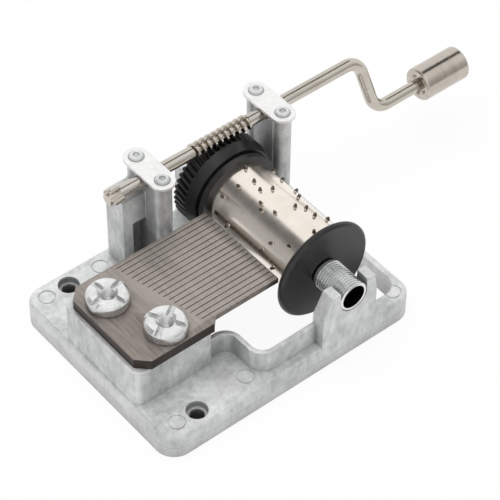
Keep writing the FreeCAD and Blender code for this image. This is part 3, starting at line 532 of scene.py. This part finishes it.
class Workpiece:
    """A piece under hand work, done with the same tools as in the viewport."""

    COPY_MERGE_MM = 0.0005
    LEVEL = 0.99  # least lean upwards or downwards of a level face
    LEVEL_MM = 0.01  # how near to a height a face counts as at it
    FLAT_DEGREES = 0.3  # largest bend between the triangles of a flat face
    TURNED_DEGREES = 30.0  # least angle of a turned edge that stays sharp

    def __init__(self, thing: Thing) -> None:
        """Take over an object."""
        self.thing = thing

    @classmethod
    def copied(cls, node: Thing, name: str, holed_mm: Sizes = ()) -> "Workpiece":
        """Copy a CAD node to a piece with its own merged mesh of large faces.

        Args:
            node: the CAD node
            name: name of the new piece
            holed_mm: heights of level faces with holes, which keep their triangles

        Returns:
            The new piece.
        """
        piece = cls(bpy.data.objects.new(name, node.data.copy()))
        piece.thing.data.name = name
        bpy.context.scene.collection.objects.link(piece.thing)
        piece.alone()
        if piece.thing.data.has_custom_normals:
            bpy.ops.mesh.customdata_custom_splitnormals_clear()
        with piece.editing():
            cls.sealed(cls.COPY_MERGE_MM)
        piece.pick(Part.FACES, lambda face: not any(
            abs(face.normal.z) > cls.LEVEL
            and abs(face.center.z - height * MM) < cls.LEVEL_MM * MM for height in holed_mm))
        with piece.editing():
            bpy.ops.mesh.dissolve_limited(angle_limit=math.radians(cls.FLAT_DEGREES))
        return piece

    @classmethod
    def ring(cls, name: str, axis: Axis, place: Vector, radius_mm: float,
             corners: int) -> "Workpiece":
        """Start a piece as a ring, selected all round.

        Args:
            name: name of the piece
            axis: axis that the ring stands across
            place: its middle
            radius_mm: its radius
            corners: corners around it

        Returns:
            The new piece.
        """
        bpy.ops.object.select_all(action="DESELECT")
        bpy.ops.mesh.primitive_circle_add(vertices=corners, radius=radius_mm * MM, location=place,
                                          fill_type="NOTHING", rotation=axis.tilt)
        piece = cls(bpy.context.object)
        piece.thing.name = piece.thing.data.name = name
        bpy.ops.object.transform_apply(location=True, rotation=True, scale=True)
        with piece.editing():
            bpy.ops.mesh.select_all(action="SELECT")
        return piece

    @classmethod
    def turned(cls, name: str, axis: Axis, place_mm: Place, profile_mm: Profile,
               corners: int = 64) -> "Workpiece":
        """Turn a closed profile about an axis, ring by ring.

        Args:
            name: name of the piece
            axis: axis that it is turned about
            place_mm: point on the axis
            profile_mm: places along the axis with their radii; the last joins the first
            corners: corners around a ring

        Returns:
            The new piece.
        """
        middle = Vector(place_mm) * MM
        start = middle.copy()
        start[axis.number] = profile_mm[0][0] * MM
        piece = cls.ring(name, axis, start, profile_mm[0][1], corners)
        following = profile_mm[1:] + profile_mm[:1]
        with piece.editing():
            for (here, radius), (there, wanted) in zip(profile_mm, following):
                step = Vector()
                step[axis.number] = (there - here) * MM
                bpy.ops.mesh.extrude_region_move(TRANSFORM_OT_translate={"value": step})
                factor = [wanted / radius] * 3
                factor[axis.number] = 1.0
                bpy.ops.transform.resize(value=factor, center_override=middle)
            cls.sealed()
        piece.smooth(cls.TURNED_DEGREES)
        return piece

    def alone(self) -> None:
        """Leave this piece alone selected and active."""
        bpy.ops.object.select_all(action="DESELECT")
        self.thing.select_set(True)
        bpy.context.view_layer.objects.active = self.thing

    @contextmanager
    def editing(self) -> Iterator[None]:
        """Work on this piece alone in edit mode for a while."""
        self.alone()
        bpy.ops.object.mode_set(mode="EDIT")
        yield
        bpy.ops.object.mode_set(mode="OBJECT")

    @staticmethod
    def sealed(merge_mm: float = 0.001, fill: bool = False) -> None:
        """Merge doubles and turn the faces outwards, in edit mode.

        Args:
            merge_mm: how far apart doubles may lie
            fill: whether open ends are closed
        """
        bpy.ops.mesh.select_all(action="SELECT")
        bpy.ops.mesh.remove_doubles(threshold=merge_mm * MM)
        if fill:
            bpy.ops.mesh.fill_holes(sides=0)
        bpy.ops.mesh.normals_make_consistent(inside=False)

    def pick(self, part: Part, test: PartTest = lambda item: False) -> int:
        """Select the points, edges or faces that pass a test, and nothing else.

        Args:
            part: what is picked
            test: says whether one counts

        Returns:
            Number of those that are selected.
        """
        mode, name = part.value
        with self.editing():
            bpy.ops.mesh.select_mode(type=mode)
            bpy.ops.mesh.select_all(action="DESELECT")
        items = getattr(self.thing.data, name)
        for item in items:
            item.select = test(item)
        return sum(item.select for item in items)

    def shift(self, way_mm: Place) -> None:
        """Move what is selected."""
        with self.editing():
            bpy.ops.transform.translate(value=tuple(length * MM for length in way_mm))

    def round_edges(self, width_mm: float, sharpness: float = 30.0,
                    test: EdgeTest = lambda a, b: True, segments: int = 2) -> None:
        """Round the sharp edges that also pass a test on their two ends.

        Args:
            width_mm: how far the rounding reaches on each side
            sharpness: least angle of an edge that is rounded, in degrees
            test: says whether an edge counts
            segments: faces across the rounding
        """
        self.pick(Part.EDGES)
        with self.editing():
            bpy.ops.mesh.edges_select_sharp(sharpness=math.radians(sharpness))
        mesh = self.thing.data
        sharp = [edge.index for edge in mesh.edges if edge.select]
        for items in (mesh.polygons, mesh.edges, mesh.vertices):
            items.foreach_set("select", [False] * len(items))
        for index in sharp:
            first, second = (mesh.vertices[number] for number in mesh.edges[index].vertices)
            if test(first.co, second.co):
                mesh.edges[index].select = first.select = second.select = True
        if any(mesh.edges[index].select for index in sharp):
            with self.editing():
                bpy.ops.mesh.bevel(offset=width_mm * MM, offset_type="OFFSET", segments=segments,
                                   affect="EDGES", clamp_overlap=False)

    def cut_to(self, low_mm: float, high_mm: float) -> None:
        """Keep the part between two places along X.

        Args:
            low_mm: where the kept part starts
            high_mm: where it ends
        """
        with self.editing():
            for place, inner in ((low_mm, True), (high_mm, False)):
                bpy.ops.mesh.select_all(action="SELECT")
                bpy.ops.mesh.bisect(plane_co=(place * MM, 0.0, 0.0), plane_no=(1.0, 0.0, 0.0),
                                    use_fill=True, clear_inner=inner, clear_outer=not inner)

    def join(self, others: list["Workpiece"], name: str) -> None:
        """Join other pieces to this one.

        Args:
            others: the other pieces
            name: name of the joined piece
        """
        self.alone()
        for other in others:
            other.thing.select_set(True)
        bpy.ops.object.join()
        self.thing.name = self.thing.data.name = name

    def smooth(self, angle: float = 35.0) -> None:
        """Shade the piece smooth between its sharp edges and flat on its large faces.

        Args:
            angle: least angle of an edge that stays sharp, in degrees
        """
        self.alone()
        bpy.ops.object.shade_smooth_by_angle(angle=math.radians(angle))
        weighted = self.thing.modifiers.new("flat faces", "WEIGHTED_NORMAL")
        weighted.keep_sharp = True
        bpy.ops.object.modifier_apply(modifier=weighted.name)

    def dress(self, finish: Finish) -> None:
        """Put a finish in every material slot.

        Args:
            finish: the finish
        """
        if not self.thing.material_slots:
            self.thing.data.materials.append(finish.material())
        for holder in self.thing.material_slots:
            holder.material = finish.material()


@dataclass
class SubAssembly:
    """A group of pieces that is built and dressed together."""

    nodes: dict[str, Thing]  # CAD nodes by name

    def keep(self, node: str, finish: Finish) -> None:
        """Dress a CAD node whose shape is right as it is."""
        Workpiece(self.nodes[node]).dress(finish)
        LOG.info("%s: CAD node in %s", node, finish.name)

    def add(self, piece: Workpiece, body: Body, finish: Finish) -> None:
        """Add a finished piece.

        Args:
            piece: the finished piece
            body: body that it rides on
            finish: its finish
        """
        thing = piece.thing
        piece.dress(finish)
        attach(thing, body.value)
        LOG.info("%s: %d faces in %s", thing.name, len(thing.data.polygons), finish.name)

    def stand_in(self, piece: Workpiece, node: str, body: Body, finish: Finish) -> None:
        """Add a finished piece that stands for a CAD node."""
        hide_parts(node)
        self.add(piece, body, finish)

    def rounded(self, node: str, body: Body, finish: Finish, width_mm: float) -> None:
        """Rework a CAD node to a piece with rounded edges.

        Args:
            node: the CAD node
            body: body that the piece rides on
            finish: its finish
            width_mm: how far the rounding reaches
        """
        piece = Workpiece.copied(self.nodes[node], node + "_finished")
        piece.round_edges(width_mm)
        piece.smooth()
        self.stand_in(piece, node, body, finish)


@dataclass
class Casting(SubAssembly):
    """The die-cast bedplate with its staked spigots and the threads of its mounting holes."""

    edge_mm: float = 0.22  # rounding of the cast edges
    die_mm: Span = (0.3, 22.9)  # heights between which the die rounds edges
    plate_mm: float = 4.6  # height of the plate
    plate_near_mm: float = 0.05
    outline_mm: Sizes = (17.5, 25.0, 19.5, 3.5)  # middle along X, half sizes, corner radius
    outline_near_mm: float = 0.1
    holed_mm: Sizes = (0.0, 4.6)  # heights of the level faces that the windows pass through
    foot_mm: Sizes = (-6.2, -1.0, 13.0, 5.0)  # pedestal's foot: X, middle and half Y, height
    seat_mm: float = 2.9  # radius of the sharp edges round the front stud
    joint_mm: Sizes = (23.3, -17.25, 1.4, 9.3)  # rib and bracket's joint: X, Y, radius, height
    fine_places: tuple[Place, ...] = (  # holes and marks with sharp edges: X, Y and radius
        (0.0, 16.6, 2.0), (0.0, -16.6, 2.0), (-4.3, 16.6, 1.8), (6.3, 16.6, 1.8),
        (-3.9, -16.6, 1.8), (10.0, -16.1, 1.8), (39.6, -17.1, 1.8))
    head_top_mm: float = 24.336  # height of the staked heads
    head_near_mm: float = 0.02
    head_level: float = 0.9  # least upward lean of a head's top
    head_rim_mm: float = 0.38
    head_slope_mm: float = 0.1
    head_dish_mm: float = 0.22  # depth of the punch mark
    hole_mm: float = 16.6  # how far the mounting holes lie from the middle
    thread_top_mm: float = 3.35
    thread_pitch_mm: float = 0.5
    thread_radii_mm: Sizes = (1.24, 1.08, 1.25)  # grooves, ridges and outer wall
    thread_corners: int = 40

    def build(self) -> None:
        """Build the bedplate."""
        piece = Workpiece.copied(self.nodes["bedplate"], "bedplate_finished", self.holed_mm)
        self.stake_heads(piece)
        piece.round_edges(self.edge_mm, test=self.is_cast_edge)
        piece.smooth()
        self.stand_in(piece, "bedplate", Body.FRAME, CAST_ZINC)
        for side, y_mm in (("front", -self.hole_mm), ("rear", self.hole_mm)):
            self.thread(side, y_mm)

    def stake_heads(self, piece: Workpiece) -> None:
        """Dish the top of each staked head, as the punch leaves it.

        Args:
            piece: the bedplate
        """
        top, near = self.head_top_mm * MM, self.head_near_mm * MM
        if piece.pick(Part.FACES, lambda face: abs(face.center.z - top) < near
                      and face.normal.z > self.head_level):
            with piece.editing():
                bpy.ops.mesh.inset(thickness=self.head_rim_mm * MM, depth=0.0)
                bpy.ops.mesh.inset(thickness=self.head_slope_mm * MM,
                                   depth=-self.head_dish_mm * MM)

    def is_cast_edge(self, a: Vector, b: Vector) -> bool:
        """Tell whether an edge is rounded by the die.

        Args:
            a: one end
            b: other end

        Returns:
            False for the underside, the plate's inner edges, small holes, marks and heads.
        """
        low, high = min(a.z, b.z) / MM, max(a.z, b.z) / MM
        x, y, z = (a + b) / (2.0 * MM)
        foot_x, foot_y, foot_half, foot_top = self.foot_mm
        joint_x, joint_y, joint_radius, joint_top = self.joint_mm
        axis_x, axis_z = CYLINDER_AXIS_MM
        return not any((
            high < self.die_mm[0] or low > self.die_mm[1],
            x < foot_x and abs(y - foot_y) < foot_half and high < foot_top,
            math.hypot(x - axis_x, z - axis_z) < self.seat_mm,
            math.hypot(x - joint_x, y - joint_y) < joint_radius and low < joint_top,
            abs(z - self.plate_mm) < self.plate_near_mm and not self.on_outline(x, y),
            *(math.hypot(x - fine_x, y - fine_y) < radius
              for fine_x, fine_y, radius in self.fine_places)))

    def on_outline(self, x_mm: float, y_mm: float) -> bool:
        """Tell whether a point lies on the plate's outline.

        Args:
            x_mm: its place along X
            y_mm: its place along Y

        Returns:
            True close to the outline.
        """
        middle, half_x, half_y, radius = self.outline_mm
        across = abs(x_mm - middle) - half_x + radius
        along = abs(y_mm) - half_y + radius
        outside = math.hypot(max(across, 0.0), max(along, 0.0))
        return abs(outside + min(max(across, along), 0.0) - radius) < self.outline_near_mm

    def thread(self, side: str, y_mm: float) -> None:
        """Cut the thread of one mounting hole.

        Args:
            side: name of the side
            y_mm: where the hole lies along Y
        """
        groove, ridge, wall = self.thread_radii_mm
        top, pitch = self.thread_top_mm, self.thread_pitch_mm
        inside: Profile = ()
        for turn in range(int((top - pitch) / pitch)):
            height = top - turn * pitch
            inside += ((height, groove), (height - 0.5 * pitch, ridge))
        piece = Workpiece.turned(f"mount_thread_{side}", Axis.Z, (0.0, y_mm, 0.0),
                                 inside + ((inside[-1][0], wall), (top, wall)),
                                 self.thread_corners)
        self.add(piece, Body.FRAME, SHADED_THREAD_ZINC)


@dataclass
class CombSet(SubAssembly):
    """The comb, its screws and the lead weights under its bass teeth."""

    comb_edge_mm: float = 0.05  # rounding of the comb and the weights
    comb_sharpness: float = 40.0  # least angle of the comb's rounded edges, in degrees
    slope_mm: float = 1.6  # length of the ground slope under the comb
    slope_near_mm: float = 0.05
    teeth: int = 18
    teeth_mm: Sizes = (-9.95, 1.03, 0.75)  # start of the first along Y, pitch and width
    slots_mm: float = 2.5  # the slots lie beyond this along X
    flank_mm: float = 0.08  # how far each flank is drawn out
    flank_near: float = 0.02  # share of the pitch
    side_mm: float = 0.1  # width at the comb's two sides that stays as it is
    screw_edge_mm: float = 0.10
    weights: int = 8

    def build(self) -> None:
        """Build the comb, the screws and the weights."""
        self.comb()
        for place in ("front", "rear"):
            self.rounded("comb_screw_" + place, Body.FRAME, SCREW_ZINC, self.screw_edge_mm)
        for number in range(1, self.weights + 1):
            self.rounded(f"tuning_weight_{number}", Body.FRAME, LEAD, self.comb_edge_mm)

    def comb(self) -> None:
        """Grind the comb's underside to a slope and draw its teeth's flanks to fine slots."""
        piece = Workpiece.copied(self.nodes["comb"], "comb_finished")
        near = self.slope_near_mm * MM
        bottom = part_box("comb")[0].z + near
        end = max(point.co.x for point in piece.thing.data.vertices if point.co.z < bottom)
        if piece.pick(Part.POINTS, lambda p: p.co.z < bottom and p.co.x > end - near):
            piece.shift((-self.slope_mm, 0.0, 0.0))
        for flank, way in ((0.0, -1.0), (self.teeth_mm[2], 1.0)):
            if piece.pick(Part.POINTS, lambda p, at=flank: self.on_flank(p.co, at)):
                piece.shift((0.0, way * self.flank_mm, 0.0))
        piece.round_edges(self.comb_edge_mm, self.comb_sharpness)
        piece.smooth()
        self.stand_in(piece, "comb", Body.FRAME, COMB_STEEL)

    def on_flank(self, point: Vector, flank_mm: float) -> bool:
        """Tell whether a point lies on a flank of any tooth.

        Args:
            point: the point
            flank_mm: how far the flank lies from the tooth's start

        Returns:
            True in the slots, and False on the comb's two sides and its base.
        """
        first, pitch, width = self.teeth_mm
        y_mm = point.y / MM
        last = first + (self.teeth - 1) * pitch + width
        away = (y_mm - first - flank_mm) / pitch
        return (first + self.side_mm < y_mm < last - self.side_mm
                and abs(away - round(away)) < self.flank_near and point.x / MM > self.slots_mm)


@dataclass
class CylinderSet(SubAssembly):
    """The pinned sleeve between its two black ends, and the studs it turns in."""

    flange_edge_mm: float = 0.10  # rounding of the front flange
    stud_mm: Span = (-19.5, -12.7)  # where the front stud starts and ends along Y
    stud_radius_mm: float = 2.65  # over the thread
    stud_lead_mm: Span = (0.15, 0.22)  # length and depth of the chamfer at its front
    stud_pitch_mm: float = 0.5
    stud_ridge_mm: Sizes = (0.12, 0.36, 0.24)  # width of a ridge, end and depth of its flank
    stud_bore_mm: float = 1.65
    stud_mouth_mm: Sizes = (2.12, 2.2, 0.1)  # radius, depth and chamfer of the bore's mouth

    def build(self) -> None:
        """Build the cylinder and its studs."""
        self.keep("cylinder_sleeve", SLEEVE_NICKEL)
        self.rounded("front_flange", Body.CYLINDER, BLACK_PLASTIC, self.flange_edge_mm)
        self.keep("worm_wheel", BLACK_PLASTIC)
        self.front_stud()
        self.keep("bearing_stud_rear", STUD_STEEL)

    def front_stud(self) -> None:
        """Turn the front stud with its thread and its wide mouth."""
        front, back = self.stud_mm
        radius, bore = self.stud_radius_mm, self.stud_bore_mm
        lead, lead_depth = self.stud_lead_mm
        ridge, flank, depth = self.stud_ridge_mm
        mouth, mouth_depth, chamfer = self.stud_mouth_mm
        outside: Profile = ((front, radius - lead_depth),)
        place = front + lead
        while place < back - self.stud_pitch_mm:
            outside += ((place, radius), (place + ridge, radius), (place + flank, radius - depth))
            place += self.stud_pitch_mm
        inside = ((back, bore), (front + mouth_depth, bore), (front + mouth_depth, mouth),
                  (front + chamfer, mouth))
        axis_x, axis_z = CYLINDER_AXIS_MM
        piece = Workpiece.turned("bearing_stud_front_finished", Axis.Y, (axis_x, 0.0, axis_z),
                                 outside + ((back, radius - depth),) + inside)
        self.stand_in(piece, "bearing_stud_front", Body.FRAME, STUD_STEEL)


@dataclass
class Drive(SubAssembly):
    """The crank with its worm and knob, and the straps that hold it down."""

    strap_edge_mm: float = 0.10  # rounding of the straps
    wire_mm: float = 1.1  # radius of the wire
    wire_corners: int = 48
    corner_mm: Place = (58.1, 13.95, 22.136)  # where the shaft and the arm would meet
    crook_mm: Place = (59.534, 10.461, 12.551)  # where the arm and the handle would meet
    bend_mm: float = 2.9  # radius of the bends
    bend_steps: int = 20
    # Lobes, worm and knob's end along X, which keep their CAD form
    kept_mm: tuple[Span, ...] = ((6.0, 8.9), (22.9, 34.9), (69.3, 80.0))
    lap_mm: float = 0.35  # how far the drawn wire runs into these
    lobe_edge_mm: float = 0.26  # rounding of the lobes at the shaft's end
    lobe_sharpness: float = 40.0  # least angle of their rounded edges, in degrees
    lobe_segments: int = 3
    lobe_end_mm: float = 9.0  # where the lobes end along X
    knob_edge_mm: float = 0.45  # rounding of the knob
    knob_edge_steps: int = 5
    knob_radii_mm: Sizes = (3.0, 1.9, 1.15, 1.8)  # outside, wide bore, narrow bore and mouth
    knob_axis_mm: Place = (0.0, 10.461, 12.551)  # point on the knob's axis
    neck_mm: float = 6.2  # where the narrow bore ends, from the inner face
    mouth_mm: float = 0.8  # depth of the mouth
    chamfers_mm: Span = (0.15, 0.1)  # of the mouth and of the wide bore

    def build(self) -> None:
        """Build the crank, the knob and the straps."""
        for side in ("left", "right"):
            self.rounded("shaft_strap_" + side, Body.FRAME, STRAP_STEEL, self.strap_edge_mm)
        self.shaft()
        self.knob()

    def shaft(self) -> None:
        """Join the lobes, the worm and the knob's end to a smooth drawn wire."""
        piece, others = self.straight(), [self.bent()]
        for low, high in self.kept_mm:
            kept = Workpiece.copied(self.nodes["crank_shaft"], "crank_shaft_part")
            kept.cut_to(low, high)
            kept.round_edges(self.lobe_edge_mm, self.lobe_sharpness,
                             lambda a, b: max(a.x, b.x) < self.lobe_end_mm * MM,
                             self.lobe_segments)
            others.append(kept)
        piece.join(others, "crank_shaft_finished")
        piece.smooth()
        self.stand_in(piece, "crank_shaft", Body.CRANK, NICKEL_WIRE)

    def wire(self, x_mm: float) -> Workpiece:
        """Start a piece of wire as a ring on the shaft's axis."""
        place = Vector((x_mm, *self.corner_mm[1:])) * MM
        return Workpiece.ring("crank_wire", Axis.X, place, self.wire_mm, self.wire_corners)

    @staticmethod
    def draw(way: Vector) -> None:
        """Draw the selected ring out along a straight way."""
        bpy.ops.mesh.extrude_region_move(TRANSFORM_OT_translate={"value": way})

    def bend(self, start: Vector, before: Vector, after: Vector, angle: float) -> None:
        """Spin the selected ring round one bend.

        Args:
            start: middle of the ring
            before: direction of the wire before the bend
            after: direction after it
            angle: angle between the two
        """
        inward = (after - before * after.dot(before)).normalized()
        bpy.ops.mesh.spin(steps=self.bend_steps, angle=-angle,
                          center=start + inward * self.bend_mm * MM, axis=before.cross(inward))

    def straight(self) -> Workpiece:
        """Draw the straight wire between the lobes and the worm.

        Returns:
            The new piece.
        """
        start, end = self.kept_mm[0][1] - self.lap_mm, self.kept_mm[1][0] + self.lap_mm
        piece = self.wire(start)
        with piece.editing():
            self.draw(Vector((end - start, 0.0, 0.0)) * MM)
            piece.sealed(fill=True)
        return piece

    def bent(self) -> Workpiece:
        """Draw the wire from the worm over its two bends to the knob.

        Returns:
            The new piece.
        """
        first, second = (Vector(corner) * MM for corner in (self.corner_mm, self.crook_mm))
        ahead = Vector((1.0, 0.0, 0.0))
        arm = (second - first).normalized()
        angle = ahead.angle(arm)
        reach = self.bend_mm * MM * math.tan(angle / 2.0)
        start, end = self.kept_mm[1][1] - self.lap_mm, self.kept_mm[2][0] + self.lap_mm
        piece = self.wire(start)
        with piece.editing():
            self.draw(ahead * (first.x - reach - start * MM))
            self.bend(first - ahead * reach, ahead, arm, angle)
            self.draw(arm * ((second - first).length - 2.0 * reach))
            self.bend(second - arm * reach, arm, ahead, angle)
            self.draw(ahead * (end * MM - second.x - reach))
            piece.sealed(fill=True)
        return piece

    def knob(self) -> None:
        """Turn the knob with its soft edges, its mouth and the bore for the wire's head."""
        inner, outer = (corner.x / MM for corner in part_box("crank_knob"))
        radius, bore, neck, mouth = self.knob_radii_mm
        soft, steps = self.knob_edge_mm, self.knob_edge_steps
        mouth_cut, bore_cut = self.chamfers_mm
        turns = (math.pi * step / (2.0 * steps) for step in range(steps + 1))
        arc = [(1.0 - math.cos(turn), 1.0 - math.sin(turn)) for turn in turns]
        profile = (
            (inner, mouth + mouth_cut),
            *((inner + soft * x, radius - soft * y) for x, y in arc),
            *((outer - soft * x, radius - soft * y) for x, y in reversed(arc)),
            (outer, bore + bore_cut), (outer - bore_cut, bore), (inner + self.neck_mm, bore),
            (inner + self.neck_mm, neck), (inner + self.mouth_mm, neck),
            (inner + mouth_cut, mouth))
        piece = Workpiece.turned("crank_knob_finished", Axis.X, self.knob_axis_mm, profile)
        self.stand_in(piece, "crank_knob", Body.KNOB, NICKEL_KNOB)


@dataclass(frozen=True)
class Panel:
    """A flat studio light or a card that metal mirrors."""

    name: str
    towards: Place  # direction from the movement
    distance: float
    width: float
    height: float
    power: float = 0.0  # watts of a light
    greys: Profile = ()  # grey levels of a card, each after its share of the height from below

    def stood(self, thing: Thing, aim: Vector) -> None:
        """Stand the panel in its place, facing the movement.

        Args:
            thing: the object
            aim: point that it faces
        """
        away = Vector(self.towards).normalized()
        facing = away.to_track_quat("Z", "Y").to_matrix().to_4x4()
        thing.matrix_world = Matrix.Translation(aim + away * self.distance) @ facing

    def light(self, aim: Vector) -> None:
        """Add the panel as a soft light that mirrors don't show.

        Args:
            aim: point that it faces
        """
        lamp = bpy.data.lights.new(self.name, "AREA")
        lamp.shape, lamp.size, lamp.size_y = "RECTANGLE", self.width, self.height
        lamp.energy = self.power
        thing = bpy.data.objects.new(self.name, lamp)
        bpy.context.scene.collection.objects.link(thing)
        thing.visible_glossy = False
        self.stood(thing, aim)

    def card(self, aim: Vector) -> None:
        """Add the panel as a grey card that only mirrors show.

        Args:
            aim: point that it faces
        """
        bpy.ops.object.select_all(action="DESELECT")
        bpy.ops.mesh.primitive_plane_add(size=1.0)
        thing = bpy.context.object
        thing.name = self.name
        bpy.ops.transform.resize(value=(self.width, self.height, 1.0))
        bpy.ops.object.transform_apply(location=False, rotation=False, scale=True)
        board = NodeBoard(self.name)
        board.finish("Base Color", BLACK)
        edge = 0.5 * self.height / MM
        height = board.spread(board.along(Axis.Y), (-edge, edge), WHOLE)
        grey = board.ramp(height, tuple((place, (level,) * 3) for place, level in self.greys))
        board.finish("Emission Color", grey)
        board.finish("Emission Strength", 1.0)
        thing.data.materials.append(board.material)
        self.stood(thing, aim)
        thing.visible_camera = thing.visible_diffuse = thing.visible_shadow = False
        thing.visible_transmission = False


@dataclass
class Studio:
    """Floor, white surround, soft lights, cards and the camera of the photograph."""

    aim_mm: Place = (25.5, 1.854, 8.0)  # point the camera looks at
    azimuth: float = -39.743  # degrees that the camera stands round from the front
    elevation: float = 46.971  # degrees that it stands up
    roll: float = 0.713  # degrees that it is tipped
    distance: float = 0.374225
    lens_mm: float = 167.3
    film_mm: float = 36.0
    clip: Span = (0.01, 10.0)  # nearest and furthest distance that is seen
    ambient: float = 0.46  # strength of the surround as a light
    floor_size: float = 4.0
    floor_drop_mm: float = 0.1  # how far it lies below the movement
    floor_grey: float = 0.62  # as it takes light and shadow
    floor_roughness: float = 0.9
    floor_gloss: float = 0.1
    floor_glow: float = 0.90  # share of the floor that shows as plain white
    floor_white: float = 1.03  # strength of that white
    lights: tuple[Panel, ...] = (
        Panel("key light", (-0.10, 0.10, 1.0), 0.70, 0.60, 0.60, 3.9),
        Panel("front light", (-0.30, -1.0, 0.55), 0.80, 0.60, 0.40, 0.25))
    cards: tuple[Panel, ...] = (
        Panel("left card", (-0.73, 0.525, 0.436), 0.60, 0.55, 1.08,
              greys=((0.50, 0.40), (0.625, 0.19), (0.725, 0.10), (1.0, 0.14))),
        Panel("front card", (0.436, -0.82, 0.38), 0.60, 0.80, 0.56,
              greys=((0.10, 0.42), (0.50, 0.55), (1.0, 0.95))),
        Panel("ceiling strip", (0.436, 0.18, 0.88), 0.60, 0.17, 0.50,
              greys=((0.0, 0.03), (1.0, 0.03))))

    def build(self) -> None:
        """Build the studio."""
        aim = Vector(self.aim_mm) * MM
        self.surround()
        self.floor()
        for panel in self.lights:
            panel.light(aim)
        for panel in self.cards:
            panel.card(aim)
        self.camera(aim)
        bpy.context.scene.view_settings.view_transform = "Standard"
        LOG.info("studio: %d lights, %d cards", len(self.lights), len(self.cards))

    def surround(self) -> None:
        """Make the world white where it is seen and softer where it lights."""
        world = bpy.data.worlds.new("studio")
        bpy.context.scene.world = world
        world.use_nodes = True
        nodes = Nodes(world.node_tree)
        back = nodes.tree.nodes["Background"].inputs
        nodes.feed(back["Color"], WHITE)
        strength = nodes.maths("ADD", nodes.seen(1.0 - self.ambient), self.ambient)
        nodes.feed(back["Strength"], strength)

    def floor(self) -> None:
        """Lay a white floor that keeps a soft shadow."""
        bpy.ops.object.select_all(action="DESELECT")
        bpy.ops.mesh.primitive_plane_add(size=self.floor_size,
                                         location=(0.0, 0.0, -self.floor_drop_mm * MM))
        floor = bpy.context.object
        floor.name = "studio_floor"
        board = NodeBoard("studio floor")
        board.finish("Base Color", (self.floor_grey,) * 3)
        board.finish("Roughness", self.floor_roughness)
        board.finish("Specular IOR Level", self.floor_gloss)
        glow = board.out("ShaderNodeEmission", 0, {"Strength": self.floor_white})
        mixed = board.out("ShaderNodeMixShader", 0, {
            0: board.seen(self.floor_glow), 1: board.shader.outputs[0], 2: glow})
        board.feed(board.tree.nodes["Material Output"].inputs["Surface"], mixed)
        floor.data.materials.append(board.material)

    def camera(self, aim: Vector) -> None:
        """Set up the camera where the photograph was taken from.

        Args:
            aim: point that it looks at
        """
        turn, rise, tip = (math.radians(v) for v in (self.azimuth, self.elevation, self.roll))
        ahead = Vector((-math.sin(turn) * math.cos(rise), math.cos(turn) * math.cos(rise),
                        -math.sin(rise)))
        level = Vector((math.cos(turn), math.sin(turn), 0.0))
        upright = level.cross(ahead)
        right = level * math.cos(tip) + upright * math.sin(tip)
        up = upright * math.cos(tip) - level * math.sin(tip)
        lens = bpy.data.cameras.new("camera")
        lens.lens, lens.sensor_width = self.lens_mm, self.film_mm
        lens.clip_start, lens.clip_end = self.clip
        thing = bpy.data.objects.new("camera", lens)
        bpy.context.scene.collection.objects.link(thing)
        turned = Matrix((right, up, -ahead)).transposed().to_4x4()
        thing.matrix_world = Matrix.Translation(aim - ahead * self.distance) @ turned
        bpy.context.scene.camera = thing


def main() -> None:
    """Build every sub-assembly and the studio."""
    logging.basicConfig(level=logging.INFO, format="%(name)s: %(message)s")
    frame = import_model()
    nodes = frame["nodes"]
    for group in (Casting(nodes), CombSet(nodes), CylinderSet(nodes), Drive(nodes)):
        group.build()
    Studio().build()


if __name__ == "__main__":
    main()
